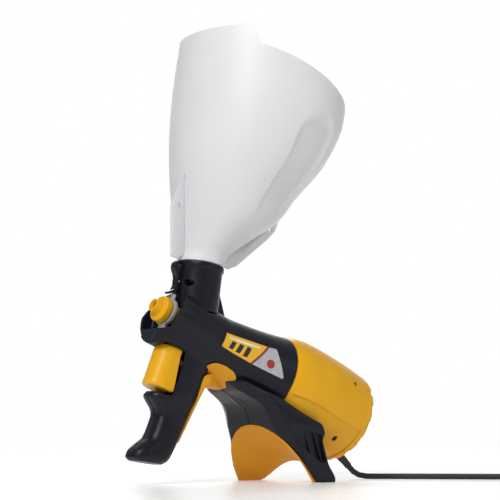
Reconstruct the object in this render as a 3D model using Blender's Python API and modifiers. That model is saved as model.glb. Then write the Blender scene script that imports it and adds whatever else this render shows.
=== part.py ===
"""Electric texture sprayer with a gravity-feed hopper, standing on its splayed legs.

World frame: metres, +Z up, nozzle towards -X, mains cord towards +X, symmetric about Y = 0.
Lengths in this file are millimetres and are turned into metres where a mesh is made.
Pieces with no frame of their own are in the stand frame, whose x = 32 is the feet's front toe.
The gun leans nose-up, so most parts are modelled in the barrel frame: x runs along the barrel from
nozzle to motor, z is up from the barrel axis, and x = 0 is the joint of barrel and motor cover.
"""
import math

import bmesh
import bpy
from mathutils import Matrix, Vector

MM = 0.001
OBJECT_NAME = "texture_sprayer"

# Driving dimensions
TILT = math.radians(21.5)          # nose-up lean of the barrel
BARREL_ORIGIN = (21.4, 0.0, 107.8)  # joint of barrel and motor cover, above the ground
SPOUT_LEAN = math.radians(9.0)     # backward lean of the feed spout
SPOUT_TOP = (-69.3, 0.0, 217.2)    # centre of the spout's mouth
STAND_X = 4.59                     # puts the origin below the middle of the gun's own box
GAP = 0.3                          # clearance between pieces that touch

NOZZLE_UP = 7.5                    # nozzle and needle axis above the barrel axis
BARREL = [(-151.0, 31.0, 3.5), (-130.0, 31.0, 3.0), (-105.0, 31.0, 2.2), (-82.0, 31.0, 1.4),
          (-60.0, 33.5, 1.0), (-30.0, 38.5, 0.5), (-12.0, 42.3, 0.2), (-0.3, 45.3, 0.0)]
BARREL_WALL = 2.5
LEDGE_Z = -19.5                    # height of the step along the gun's flanks
LEDGE_STEP = 1.2
GRIP = [(-22.0, -129.0, -78.0, 17.0), (-40.0, -126.5, -82.5, 16.8), (-57.0, -126.5, -83.3, 16.6),
        (-67.5, -128.0, -84.3, 16.2), (-71.5, -134.0, -84.8, 15.6), (-77.0, -136.5, -85.3, 15.0),
        (-82.0, -130.0, -85.8, 14.4), (-87.0, -123.0, -86.4, 14.0), (-93.0, -120.6, -87.0, 13.8),
        (-106.0, -120.8, -88.6, 14.0), (-114.0, -122.0, -89.4, 14.2), (-122.0, -128.5, -90.2, 14.6),
        (-130.0, -134.0, -91.2, 15.0), (-135.0, -134.0, -93.5, 14.4), (-138.5, -129.0, -98.0, 11.5)]
GRIP_WALL = 2.4
GRIP_BOTTOM_SLOPE = 0.24           # the butt is level with the ground, not with the barrel

SPOUT_R = 24.4
SPOUT_BORE = 21.4
SPOUT_FLANGE_R = 25.4
CHAMBER_R = 14.5
CHAMBER_BORE = 11.0
CHAMBER_X = (-137.0, -86.0)

COVER = [(0.3, 45.3), (5.0, 47.6), (14.0, 50.0), (28.0, 51.8), (45.0, 52.5), (75.0, 52.2),
         (95.0, 51.0), (104.0, 50.2)]
COVER_WALL = 2.4
CAP_X = (104.3, 117.0)
CAP_R = 50.2
CAP_TEETH = 16

TUNNEL_HALF = 57.0                 # half width of the stand's arch at the ground
TUNNEL_FRONT = (-34.0, 56.0)       # crown of the arch at the front, from the front toe
TUNNEL_REAR = (28.0, 21.0)         # crown of the arch at the rear
LINER_WALL = 2.2
ARCH_STEPS = 20
TOE_X = 32.0                       # front toe of the feet in the world

# station, lower edge and upper edge of the label
LABEL = [(-90.0, -7.0, 9.5), (-40.0, -9.4, 16.0), (-26.0, -9.8, 18.5), (-19.0, -10.0, 7.0),
         (-12.0, -10.2, -7.6)]

# height, front at mid width, front corner, its half width, rear, its half width
STAND = [(0.0, 32.0, 34.0, 63.0, 59.5, 64.0), (4.0, 29.6, 32.0, 62.0, 60.0, 63.6),
         (9.0, 26.5, 28.5, 60.8, 59.0, 61.5), (17.0, 21.7, 23.3, 59.0, 55.2, 59.4),
         (30.0, 13.8, 19.0, 55.6, 52.8, 57.0), (41.0, 7.1, 15.3, 52.5, 51.2, 55.0),
         (50.0, 1.6, 11.0, 50.0, 55.5, 53.2), (57.5, -2.4, 6.5, 47.6, 54.0, 51.8),
         (63.5, -4.2, 4.0, 46.3, 42.0, 50.5), (70.0, -6.5, 1.0, 44.8, 28.0, 49.3),
         (78.0, -12.5, -4.5, 42.7, 13.8, 47.5), (86.4, -26.5, -14.5, 39.0, -1.7, 45.5),
         (92.0, -37.0, -26.0, 36.0, -19.0, 43.5), (101.0, -47.0, -38.0, 29.0, -34.0, 33.0)]

TRIGGER_PIVOT = (-126.0, 4.0)
LATCH_PIVOT = (-98.9, 199.0)
LATCH_HALF = 3.8
NEEDLE_R = 2.0

HOPPER_WALL = 2.0
# height, front and rear of the hopper's round sections, in the world
HOPPER = [(223.4, -93.6, -44.7), (232.0, -89.6, -34.0), (250.0, -89.8, -6.2), (266.0, -90.3, 18.4),
          (290.0, -90.3, 38.5), (333.0, -88.4, 77.4), (377.0, -85.2, 99.5), (405.0, -82.5, 103.5),
          (432.0, -79.3, 102.0), (460.0, -75.5, 98.5)]
RIM_AT = (-46.8, 440.0)            # point of the slanted mouth plane
RIM_SLOPE = 0.41
LOBE_TOP = 461.0                   # raised splash guard at the front of the mouth
LOBE_HALF = math.radians(47.5)

CORD_R = 3.1
COIL_AT = (323.5, -119.4)
COIL_R = 33.0
CORD_ROUTE = [(138.6, 0.0, 14.8), (144.4, -0.2, 9.6), (151.4, -0.8, 5.7), (160.0, -2.8, 3.7),
              (170.0, -7.5, 3.3), (186.0, -21.0, 3.3), (201.5, -39.8, 3.3), (224.8, -68.0, 3.3),
              (250.7, -99.4, 3.3), (290.0, -147.0, 3.3)]
TAIL_ROUTE = [(353.7, -149.6, 3.3), (360.8, -142.5, 4.0), (367.8, -135.5, 6.4), (374.1, -129.2, 8.7),
              (378.7, -124.6, 9.3), (383.7, -119.6, 9.3)]

YELLOW = (0.83, 0.48, 0.03)
BLACK = (0.018, 0.018, 0.021)
WHITE = (0.80, 0.80, 0.80)
GREY = (0.45, 0.45, 0.47)
STEEL = (0.55, 0.55, 0.56)
BRASS = (0.75, 0.55, 0.25)
COPPER = (0.72, 0.36, 0.18)

for old in list(bpy.data.objects):
    bpy.data.objects.remove(old, do_unlink=True)

PARTS = bpy.data.collections.new(OBJECT_NAME)
CUTTERS = bpy.data.collections.new("cutters")
bpy.context.scene.collection.children.link(PARTS)
bpy.context.scene.collection.children.link(CUTTERS)


def empty(name, location, rotation=(0.0, 0.0, 0.0), parent=None):
    frame = bpy.data.objects.new(name, None)
    frame.location = Vector(location) * MM
    frame.rotation_euler = rotation
    frame.parent = parent
    PARTS.objects.link(frame)
    return frame


STAND_FRAME = empty("stand_frame", (STAND_X, 0.0, 0.0))
BARREL_FRAME = empty("barrel_frame", BARREL_ORIGIN, (0.0, TILT, 0.0), STAND_FRAME)
SPOUT_FRAME = empty("spout_frame", SPOUT_TOP, (0.0, SPOUT_LEAN, 0.0), STAND_FRAME)


def material(name, colour, roughness=0.45, metallic=0.0):
    made = bpy.data.materials.new(name)
    made.use_nodes = True
    shader = made.node_tree.nodes["Principled BSDF"]
    shader.inputs["Base Color"].default_value = (*colour, 1.0)
    shader.inputs["Roughness"].default_value = roughness
    shader.inputs["Metallic"].default_value = metallic
    return made


def as_cutter(piece):
    """Moves a helper solid to the cutters, which aren't parts."""
    for group in list(piece.users_collection):
        group.objects.unlink(piece)
    CUTTERS.objects.link(piece)
    piece.hide_render = True
    piece.display_type = "WIRE"
    return piece


def boolean(piece, other, operation):
    step = piece.modifiers.new(other.name, "BOOLEAN")
    step.operation = operation
    step.solver = "EXACT"
    step.object = as_cutter(other)
    return piece


def cut(piece, *others):
    for other in others:
        boolean(piece, other, "DIFFERENCE")
    return piece


def join(piece, *others):
    for other in others:
        boolean(piece, other, "UNION")
    return piece


def add(name, mesh, frame=None, finish=None):
    piece = bpy.data.objects.new(name, mesh)
    PARTS.objects.link(piece)
    piece.parent = frame or STAND_FRAME
    if finish:
        mesh.materials.append(finish)
    return piece


def from_bmesh(name, shape, frame=None, finish=None, smooth=True):
    bmesh.ops.recalc_face_normals(shape, faces=shape.faces)
    mesh = bpy.data.meshes.new(name)
    shape.to_mesh(mesh)
    shape.free()
    if smooth:
        mesh.shade_smooth()
        mesh.set_sharp_from_angle(angle=math.radians(35.0))
    return add(name, mesh, frame, finish)


def loft(name, rings, frame=None, finish=None, closed_path=False):
    """A closed solid through rings of points, in millimetres."""
    shape = bmesh.new()
    rows = [[shape.verts.new(Vector(point) * MM) for point in ring] for ring in rings]
    count = len(rows[0])
    pairs = list(zip(rows, rows[1:]))
    if closed_path:
        pairs.append((rows[-1], rows[0]))
    for low, high in pairs:
        for i in range(count):
            j = (i + 1) % count
            shape.faces.new((low[i], low[j], high[j], high[i]))
    if not closed_path:
        shape.faces.new(rows[0][::-1])
        shape.faces.new(rows[-1])
    return from_bmesh(name, shape, frame, finish)


def box(name, low, high, frame=None, finish=None, bevel=0.0):
    shape = bmesh.new()
    bmesh.ops.create_cube(shape, size=1.0)
    size = [b - a for a, b in zip(low, high)]
    centre = [(a + b) / 2 for a, b in zip(low, high)]
    for vertex in shape.verts:
        vertex.co = Vector([(c * s + m) * MM for c, s, m in zip(vertex.co, size, centre)])
    piece = from_bmesh(name, shape, frame, finish, smooth=False)
    if bevel:
        rounding = piece.modifiers.new("rounding", "BEVEL")
        rounding.width = bevel * MM
        rounding.segments = 2
    return piece


AXES = {"x": Matrix.Rotation(math.pi / 2, 4, "Y"), "y": Matrix.Rotation(math.pi / 2, 4, "X"),
        "z": Matrix.Identity(4)}


def cylinder(name, centre, axis, radius, length, frame=None, finish=None, sides=20):
    """A cylinder about a frame axis."""
    shape = bmesh.new()
    bmesh.ops.create_cone(shape, cap_ends=True, segments=sides, radius1=radius * MM,
                          radius2=radius * MM, depth=length * MM)
    bmesh.ops.transform(shape, matrix=AXES[axis], verts=shape.verts)
    bmesh.ops.translate(shape, vec=Vector(centre) * MM, verts=shape.verts)
    return from_bmesh(name, shape, frame, finish)


def turned(name, profile, centre, axis, frame=None, finish=None, sides=24):
    """A turned piece: (radius, distance) points that run down the outer side, then up the bore."""
    hollow = all(radius > 0.0 for radius, _ in profile)
    shape = bmesh.new()
    points = [shape.verts.new((radius * MM, 0.0, along * MM)) for radius, along in profile]
    ends = zip(points, points[1:] + points[:1]) if hollow else zip(points, points[1:])
    for a, b in ends:
        shape.edges.new((a, b))
    mesh = bpy.data.meshes.new(name)
    shape.to_mesh(mesh)
    shape.free()
    piece = add(name, mesh, frame, finish)
    piece.location = Vector(centre) * MM
    piece.rotation_euler = AXES[axis].to_euler()
    screw = piece.modifiers.new("turn", "SCREW")
    screw.steps = sides
    screw.render_steps = sides
    screw.use_merge_vertices = True
    screw.merge_threshold = 0.00001
    return piece


def ring(name, centre, axis, outer, inner, length, frame=None, finish=None, sides=20):
    half = length / 2
    profile = [(outer, half), (outer, -half), (inner, -half), (inner, half)]
    return turned(name, profile, centre, axis, frame, finish, sides)


def wire(name, points, radius, frame=None, finish=None, roundness=2, radii=None):
    """A round bar along points, as a welded mesh with flat ends."""
    curve = bpy.data.curves.new(name, "CURVE")
    curve.dimensions = "3D"
    curve.bevel_depth = radius * MM
    curve.bevel_resolution = roundness
    curve.use_fill_caps = True
    line = curve.splines.new("POLY")
    line.points.add(len(points) - 1)
    for i, (target, point) in enumerate(zip(line.points, points)):
        target.co = (*(Vector(point) * MM), 1.0)
        target.radius = radii[i] if radii else 1.0
    guide = bpy.data.objects.new(name + "_guide", curve)
    PARTS.objects.link(guide)
    bpy.context.view_layer.update()
    evaluated = guide.evaluated_get(bpy.context.evaluated_depsgraph_get())
    mesh = bpy.data.meshes.new_from_object(evaluated)
    bpy.data.objects.remove(guide, do_unlink=True)
    shape = bmesh.new()
    shape.from_mesh(mesh)
    bmesh.ops.remove_doubles(shape, verts=shape.verts, dist=0.00001)
    return from_bmesh(name, shape, frame, finish)


def outline(name, points, half_width, frame=None, finish=None):
    """A flat plate in the XZ plane, from a closed outline of (x, z) points, thick along Y."""
    rings = [[(x, side * half_width, z) for x, z in points] for side in (-1, 1)]
    return loft(name, rings, frame, finish)


def smooth_route(points, spacing):
    """Points along a smooth curve through the route, spacing millimetres apart."""
    padded = [2 * Vector(points[0]) - Vector(points[1])] + [Vector(p) for p in points]
    padded.append(2 * Vector(points[-1]) - Vector(points[-2]))
    fine = []
    for a, b, c, d in zip(padded, padded[1:], padded[2:], padded[3:]):
        for k in range(20):
            t = k / 20
            fine.append(0.5 * (2 * b + (c - a) * t + (2 * a - 5 * b + 4 * c - d) * t ** 2
                               + (3 * b - a - 3 * c + d) * t ** 3))
    fine.append(padded[-2])
    lengths = [0.0]
    for a, b in zip(fine, fine[1:]):
        lengths.append(lengths[-1] + (b - a).length)
    count = max(2, round(lengths[-1] / spacing))
    route = []
    k = 0
    for i in range(count + 1):
        want = lengths[-1] * i / count
        while k < len(fine) - 2 and lengths[k + 1] < want:
            k += 1
        share = (want - lengths[k]) / max(lengths[k + 1] - lengths[k], 1e-9)
        route.append(fine[k].lerp(fine[k + 1], share))
    return route


def mix(table, at):
    """Straight interpolation in rows that start with their station."""
    for low, high in zip(table, table[1:]):
        if low[0] <= at <= high[0]:
            share = (at - low[0]) / (high[0] - low[0])
            return [a + (b - a) * share for a, b in zip(low[1:], high[1:])]
    return list((table[0] if at < table[0][0] else table[-1])[1:])


# Finishes
black_plastic = material("black_plastic", BLACK, 0.42)
yellow_plastic = material("yellow_plastic", YELLOW, 0.40)
hopper_plastic = material("hopper_plastic", WHITE, 0.45)
grey_plastic = material("grey_plastic", GREY, 0.5)
steel = material("steel", STEEL, 0.3, 1.0)
brass = material("brass", BRASS, 0.3, 1.0)
copper = material("copper", COPPER, 0.35, 1.0)
rubber = material("rubber", (0.02, 0.02, 0.02), 0.8)
foam = material("foam", (0.10, 0.10, 0.11), 0.95)
label_print = material("label_print", YELLOW, 0.35)
seal_rubber = material("seal_rubber", (0.12, 0.12, 0.12), 0.7)
nylon = material("nylon", (0.75, 0.74, 0.70), 0.5)


def barrel_ring(x, radius, up, grow=0.0, ledge=True):
    """A barrel section: round, with the flank step below LEDGE_Z."""
    radius += grow
    step = LEDGE_STEP if ledge else 0.0
    dip = math.asin(max(-1.0, min(1.0, (LEDGE_Z - up) / radius)))
    points = []
    upper, lower = 22, 12
    for i in range(upper):
        angle = dip + (math.pi - 2 * dip) * i / (upper - 1)
        points.append((x, radius * math.cos(angle), up + radius * math.sin(angle)))
    for i in range(lower):
        angle = math.pi - dip + (math.pi + 2 * dip) * i / (lower - 1)
        reach = radius + step
        points.append((x, reach * math.cos(angle), up + reach * math.sin(angle)))
    return points


def barrel_solid(name, grow=0.0):
    rings = [barrel_ring(x, radius, up, grow) for x, radius, up in BARREL]
    return loft(name, rings, BARREL_FRAME)


def barrel_core(name, start, end):
    rings = []
    for x in (start, -82.0, -60.0, -30.0, -12.0, end):
        radius, up = mix(BARREL, x)
        reach = radius - BARREL_WALL
        rings.append([(x, reach * math.cos(a), up + reach * math.sin(a))
                      for a in (2 * math.pi * i / 24 for i in range(24))])
    return loft(name, rings, BARREL_FRAME)


def grip_ring(z, front, rear, half, grow=0.0, points=20):
    """A rounded-box section of the grip, tipped towards the butt's slope."""
    centre = (front + rear) / 2
    depth = (rear - front) / 2 + grow
    half += grow
    tip = GRIP_BOTTOM_SLOPE * max(0.0, min(1.0, (-110.0 - z) / 20.0))
    section = []
    for i in range(points):
        angle = 2 * math.pi * (i + 0.5) / points
        c, s = math.cos(angle), math.sin(angle)
        x = depth * math.copysign(abs(c) ** 0.72, c)
        y = half * math.copysign(abs(s) ** 0.72, s)
        section.append((centre + x, y, z + tip * x))
    return section


def grip_solid(name, grow=0.0):
    return loft(name, [grip_ring(*row, grow=grow) for row in GRIP], BARREL_FRAME)


def grip_core(name):
    stations = [-18.0, -40.0, -57.0, -67.5, -82.0, -93.0, -114.0, -131.0]
    table = sorted(GRIP)
    rings = []
    for z in stations:
        front, rear, half = mix(table, z)
        rings.append(grip_ring(z, front, rear, half, grow=-GRIP_WALL, points=12))
    return loft(name, rings, BARREL_FRAME)


def tunnel_arch(share, grow):
    """One arch of the tunnel: share is 0 at the front of the legs and 1 at the rear."""
    toe_x = TOE_X + TUNNEL_REAR[0] * share
    crown_x = TOE_X + TUNNEL_FRONT[0] + (TUNNEL_REAR[0] - TUNNEL_FRONT[0]) * share
    crown_z = TUNNEL_FRONT[1] + (TUNNEL_REAR[1] - TUNNEL_FRONT[1]) * share + grow
    half = TUNNEL_HALF - 1.5 * max(0.0, share) + grow
    bell = 1.0 + 2.2 * max(0.0, min(1.0, share))
    section = []
    for i in range(ARCH_STEPS + 1):
        angle = math.pi * i / ARCH_STEPS
        lift = math.sin(angle) ** bell if 0 < i < ARCH_STEPS else 0.0
        section.append((toe_x + (crown_x - toe_x) * lift, -half * math.cos(angle), crown_z * lift))
    return section


def tunnel_solid(name, grow):
    """The space under the stand's arch, running back and down beneath the motor."""
    rings = []
    for share in (-0.35, 0.0, 0.25, 0.5, 0.75, 1.0, 1.3):
        section = tunnel_arch(share, grow)
        below = [(x, y, -20.0) for x, y, _ in (section[-1], section[0])]
        rings.append(section + below)
    return loft(name, rings)


def stand_solid(name):
    """The legs' outer shape: a wedge that is widest at the feet."""
    rings = []
    for z, middle, corner, half_front, rear, half_rear in STAND:
        inner = max(half_front - 12.0, 4.0)
        near = [(middle, inner, z), (corner, half_front, z), (rear - 1.5, half_rear, z),
                (rear, half_rear - 1.5, z)]
        rings.append(near + [(x, -y, height) for x, y, height in near[::-1]])
    return loft(name, rings)


def cover_ring(x, radius, sides=30):
    return [(x, radius * math.cos(a), radius * math.sin(a))
            for a in (2 * math.pi * i / sides for i in range(sides))]


def cover_envelope(name, grow):
    rings = [cover_ring(x, radius + grow) for x, radius in COVER]
    rings[0] = cover_ring(-0.15, COVER[0][1] + grow)
    rings.append(cover_ring(124.0, CAP_R + grow))
    return loft(name, rings, BARREL_FRAME)


def half_space(name, side):
    low = (-300.0, GAP / 2, -100.0) if side > 0 else (-300.0, -150.0, -100.0)
    high = (300.0, 150.0, 500.0) if side > 0 else (300.0, -GAP / 2, 500.0)
    return box(name, low, high)


def make_housing():
    """The two black clamshells: barrel, pistol grip and the splayed legs."""
    body = barrel_solid("housing_body")
    join(body, grip_solid("grip_outer"))
    stand = stand_solid("stand_outer")
    cut(stand, cover_envelope("motor_space", 0.5))
    join(body, stand)
    cut(body, tunnel_solid("tunnel_space", LINER_WALL + 3 * GAP))
    cut(body, barrel_core("barrel_space", -133.5, 4.0))
    cut(body, grip_core("grip_space"))
    # recess around the nozzle, open to the front above the lip
    recess = cylinder("nose_recess", (-146.0, 0.0, 3.5), "x", 28.2, 16.0, BARREL_FRAME, sides=28)
    cut(recess, box("lip", (-160.0, -40.0, -40.0), (-130.0, 40.0, -12.3), BARREL_FRAME))
    brow = outline("brow", [(-175.0, 0.0), (-151.3, 0.0), (-136.9, 38.0), (-175.0, 38.0)], 50.0,
                   BARREL_FRAME)
    cut(body, recess, brow)
    cut(body, cylinder("chamber_port", (-136.0, 0.0, NOZZLE_UP), "x", CHAMBER_R + 0.4, 12.0,
                       BARREL_FRAME))
    cut(body, cylinder("spout_port", (0.0, 0.0, -28.0), "z", SPOUT_R + 0.5, 57.0, SPOUT_FRAME,
                       sides=32))
    cut(body, box("trigger_slot", (-144.0, -14.5, -72.0), (-106.0, 14.5, -20.0), BARREL_FRAME))
    # the spring rib behind the trigger
    rib = box("spring_rib", (-100.5, -16.0, -58.0), (-98.0, 16.0, -42.0), BARREL_FRAME)
    join(body, rib)
    for side, name in ((-1, "housing_left"), (1, "housing_right")):
        shell = half_space(name, side)
        shell.data.materials.append(black_plastic)
        boolean(shell, body, "INTERSECT")


def make_motor_cover():
    """The two yellow clamshells around the motor."""
    body = loft("cover_body", [cover_ring(x, radius) for x, radius in COVER], BARREL_FRAME)
    inner = [cover_ring(x, radius - COVER_WALL) for x, radius in COVER]
    inner[0] = cover_ring(-5.0, COVER[0][1] - COVER_WALL)
    inner[-1] = cover_ring(110.0, COVER[-1][1] - COVER_WALL)
    cut(body, loft("cover_space", inner, BARREL_FRAME))
    for z, name in ((24.9, "upper"), (-36.0, "lower")):
        cut(body, cylinder("screw_hole_" + name, (81.5, -42.0, z), "y", 2.6, 30.0, BARREL_FRAME,
                           sides=12))
    cut(body, box("top_slot", (14.0, -23.0, 38.0), (20.0, -17.0, 60.0), BARREL_FRAME))
    for side, name in ((-1, "motor_cover_left"), (1, "motor_cover_right")):
        shell = half_space(name, side)
        shell.data.materials.append(yellow_plastic)
        boolean(shell, body, "INTERSECT")


def make_rear_cap():
    """The yellow end cap with its castellated air inlet."""
    front, back = CAP_X
    profile = [(38.0, back), (44.5, back - 1.5), (48.8, back - 4.5), (CAP_R, back - 8.0),
               (CAP_R, front), (CAP_R - 2.4, front), (CAP_R - 2.4, back - 9.0), (43.0, back - 4.0),
               (37.0, back - 2.4), (15.0, back - 2.4), (15.0, back)]
    cap = turned("rear_cap", profile, (0.0, 0.0, 0.0), "x", BARREL_FRAME, yellow_plastic, 32)
    for i in range(CAP_TEETH):
        angle = 2 * math.pi * (i + 0.5) / CAP_TEETH
        notch = box(f"notch_{i}", (back - 8.2, -3.4, 45.4), (back + 4.0, 3.4, 60.0), BARREL_FRAME)
        notch.rotation_euler = (angle, 0.0, 0.0)
        cut(cap, notch)
    cut(cap, cylinder("cord_hole", (back, 0.0, -37.0), "x", 5.6, 12.0, BARREL_FRAME, sides=16))


def make_inlet_grille():
    """Black louvred disc that closes the end cap's middle."""
    front = CAP_X[1] - 2.1
    grille = ring("inlet_grille", (front + 1.0, 0.0, 0.0), "x", 14.6, 2.5, 2.0, BARREL_FRAME,
                  black_plastic, 24)
    for i in range(6):
        slot = box(f"grille_slot_{i}", (front - 3.0, -1.3, 5.0), (front + 5.0, 1.3, 12.5), BARREL_FRAME)
        slot.rotation_euler = (math.pi * i / 3, 0.0, 0.0)
        cut(grille, slot)


def make_feed():
    """Feed spout with the material chamber below it, and the parts at its ends."""
    profile = [(SPOUT_FLANGE_R, 0.0), (SPOUT_FLANGE_R, -4.6), (SPOUT_R - 0.4, -5.4), (SPOUT_R, -48.0),
               (12.0, -56.0), (9.0, -56.0), (SPOUT_BORE - 0.6, -46.5), (SPOUT_BORE, 0.0)]
    spout = turned("feed_spout", profile, (0.0, 0.0, 0.0), "z", SPOUT_FRAME, black_plastic, 36)
    middle = sum(CHAMBER_X) / 2
    length = CHAMBER_X[1] - CHAMBER_X[0]
    join(spout, cylinder("chamber_outer", (middle, 0.0, NOZZLE_UP), "x", CHAMBER_R, length,
                         BARREL_FRAME))
    rib = outline("spout_rib", [(22.5, -14.0), (25.5, -14.0), (44.0, -52.0), (22.5, -52.0)], 1.5,
                  SPOUT_FRAME)
    cut(rib, barrel_solid("rib_clearance", 0.4))
    join(spout, rib)
    cut(spout, cylinder("chamber_bore", (middle, 0.0, NOZZLE_UP), "x", CHAMBER_BORE, length + 4.0,
                        BARREL_FRAME))
    cut(spout, cylinder("spout_drop", (0.0, 0.0, -52.0), "z", 9.0, 26.0, SPOUT_FRAME, sides=18))
    cut(spout, box("bayonet_slot", (-40.0, -17.0, -26.0), (0.0, -9.0, -20.0), SPOUT_FRAME))
    ring("spout_seal", (0.0, 0.0, -14.0), "z", SPOUT_BORE - 0.7, 19.4, 2.4, SPOUT_FRAME, seal_rubber)


def make_nozzle():
    """Yellow nozzle cap, its steel seat and the grey lock ring behind it."""
    # distances along the barrel x axis; the cap's front is at the lowest x
    cap = [(9.8, -128.0), (9.8, -147.2), (12.8, -147.2), (13.4, -148.6), (13.4, -154.0),
           (12.6, -155.2), (7.2, -155.4), (6.8, -162.0), (6.2, -162.8), (4.8, -162.8), (3.4, -157.0),
           (3.4, -151.0), (8.2, -149.0), (8.2, -128.0)]
    turned("nozzle_cap", cap, (0.0, 0.0, NOZZLE_UP), "x", BARREL_FRAME, yellow_plastic)
    seat = [(7.9, -130.0), (7.9, -147.5), (3.6, -150.2), (2.9, -150.2), (2.9, -130.0)]
    turned("fluid_seat", seat, (0.0, 0.0, NOZZLE_UP), "x", BARREL_FRAME, brass, 20)
    ring("nozzle_seal", (-132.0, 0.0, NOZZLE_UP), "x", CHAMBER_BORE - 0.15, 10.0, 2.0, BARREL_FRAME,
         seal_rubber)
    lock = ring("lock_ring", (-144.4, 0.0, NOZZLE_UP), "x", 14.6, 10.3, 3.6, BARREL_FRAME,
                grey_plastic)
    for name, low, high in (("wing_up", 12.5, 19.2), ("wing_down", -18.2, -12.5)):
        join(lock, box(name, (-146.2, -5.0, NOZZLE_UP + low), (-142.6, 5.0, NOZZLE_UP + high),
                       BARREL_FRAME))


def make_needle():
    """Needle, its pull yoke, gland and return spring."""
    rod = [(NEEDLE_R, -47.0), (NEEDLE_R, -149.0), (0.6, -153.0), (0.0, -153.0)]
    rod = [(0.0, -47.0)] + rod
    turned("needle_rod", rod, (0.0, 0.0, NOZZLE_UP), "x", BARREL_FRAME, steel, 16)
    ring("needle_gland", (-89.0, 0.0, NOZZLE_UP), "x", CHAMBER_BORE - 0.2, NEEDLE_R + 0.25, 5.0,
         BARREL_FRAME, brass, 24)
    yoke = box("pull_yoke", (-78.0, -18.6, -16.0), (-75.0, 18.6, 13.0), BARREL_FRAME, nylon)
    for side in (-1, 1):
        inner, outer = sorted((side * 15.6, side * 18.6))
        join(yoke, box(f"yoke_arm_{side + 1}", (-119.6, inner, -16.0), (-76.0, outer, -11.5),
                       BARREL_FRAME))
    cut(yoke, cylinder("yoke_bore", (-76.5, 0.0, NOZZLE_UP), "x", NEEDLE_R + 0.2, 8.0, BARREL_FRAME,
                       sides=16))
    cut(yoke, cylinder("yoke_clear", (-76.5, 0.0, -13.5), "x", 7.0, 8.0, BARREL_FRAME, sides=16))
    coil_spring("needle_spring", (-74.2, 0.0, NOZZLE_UP), (-55.4, 0.0, NOZZLE_UP), 4.6, 0.6, 6)
    plate = ring("barrel_bulkhead", (-52.5, 0.0, 0.9), "x", 31.4, 1.0, 3.0, BARREL_FRAME,
                 black_plastic, 32)
    join(plate, cylinder("bulkhead_hub", (-52.5, 0.0, NOZZLE_UP), "x", 9.0, 3.0, BARREL_FRAME))
    cut(plate, cylinder("bulkhead_needle", (-52.5, 0.0, NOZZLE_UP), "x", NEEDLE_R + 0.3, 8.0,
                        BARREL_FRAME, sides=16))
    cut(plate, cylinder("bulkhead_air", (-52.5, 0.0, -13.5), "x", 6.4, 8.0, BARREL_FRAME, sides=16))
    cut(plate, cylinder("bulkhead_wires", (-52.5, 0.0, -24.0), "x", 3.4, 8.0, BARREL_FRAME, sides=12))


def coil_spring(name, start, end, radius, wire_radius, turns):
    a, b = Vector(start), Vector(end)
    along = (b - a).normalized()
    side = along.orthogonal().normalized()
    other = along.cross(side)
    count = turns * 8
    points = []
    for i in range(count + 1):
        angle = 2 * math.pi * turns * i / count
        points.append(a.lerp(b, i / count) + radius * (side * math.cos(angle) + other * math.sin(angle)))
    return wire(name, points, wire_radius, BARREL_FRAME, steel, roundness=0)


def trigger_ring(z, rear, radius, front=-143.0):
    """A half-round section, open side towards the grip."""
    centre = front + radius
    points = [(centre + radius * math.cos(a), radius * math.sin(a), z)
              for a in (math.pi / 2 + math.pi * i / 10 for i in range(11))]
    return [(rear, radius, z)] + points + [(rear, -radius, z)]


def make_trigger():
    """Yellow trigger with its arms, stub pins and spring."""
    shell = loft("trigger", [trigger_ring(-24.5, -121.0, 13.2, -141.0), trigger_ring(-32.0, -121.5, 14.0),
                             trigger_ring(-60.0, -117.5, 14.0), trigger_ring(-65.5, -116.8, 13.8, -143.6),
                             trigger_ring(-67.3, -117.5, 13.0, -142.6)],
                 BARREL_FRAME, yellow_plastic)
    hollow = loft("trigger_space", [trigger_ring(-27.0, -100.0, 11.0, -138.5),
                                    trigger_ring(-65.0, -100.0, 11.6, -141.0)], BARREL_FRAME)
    cut(shell, hollow)
    for side in (-1, 1):
        tag = "left" if side < 0 else "right"
        low, high = sorted((side * 10.6, side * 13.4))
        join(shell, box("arm_low_" + tag, (-130.0, low, -30.0), (-121.2, high, -17.0), BARREL_FRAME))
        low, high = sorted((side * 10.6, side * 18.2))
        join(shell, box("arm_step_" + tag, (-130.0, low, -18.0), (-121.2, high, -15.0), BARREL_FRAME))
        low, high = sorted((side * 15.2, side * 18.2))
        join(shell, box("arm_high_" + tag, (-130.0, low, -18.0), (-121.2, high, 8.0), BARREL_FRAME))
    join(shell, box("switch_post", (-140.0, -3.0, -35.0), (-110.2, 3.0, -30.0), BARREL_FRAME))
    px, pz = TRIGGER_PIVOT
    cut(shell, cylinder("pivot_bore", (px, 0.0, pz), "y", 2.3, 50.0, BARREL_FRAME, sides=16))
    set_origin(shell, (px, 0.0, pz))
    for side, tag in ((-1, "left"), (1, "right")):
        cylinder("trigger_pin_" + tag, (px, side * 21.5, pz), "y", 2.0, 12.6, BARREL_FRAME, steel, 16)
    coil_spring("trigger_spring", (-137.4, 0.0, -50.0), (-101.6, 0.0, -50.0), 4.2, 0.6, 7)


def set_origin(piece, point):
    """Moves a piece's origin to a point of its frame, leaving the shape where it is."""
    offset = Vector(point) * MM
    piece.data.transform(Matrix.Translation(-offset))
    piece.location = piece.location + offset


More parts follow.
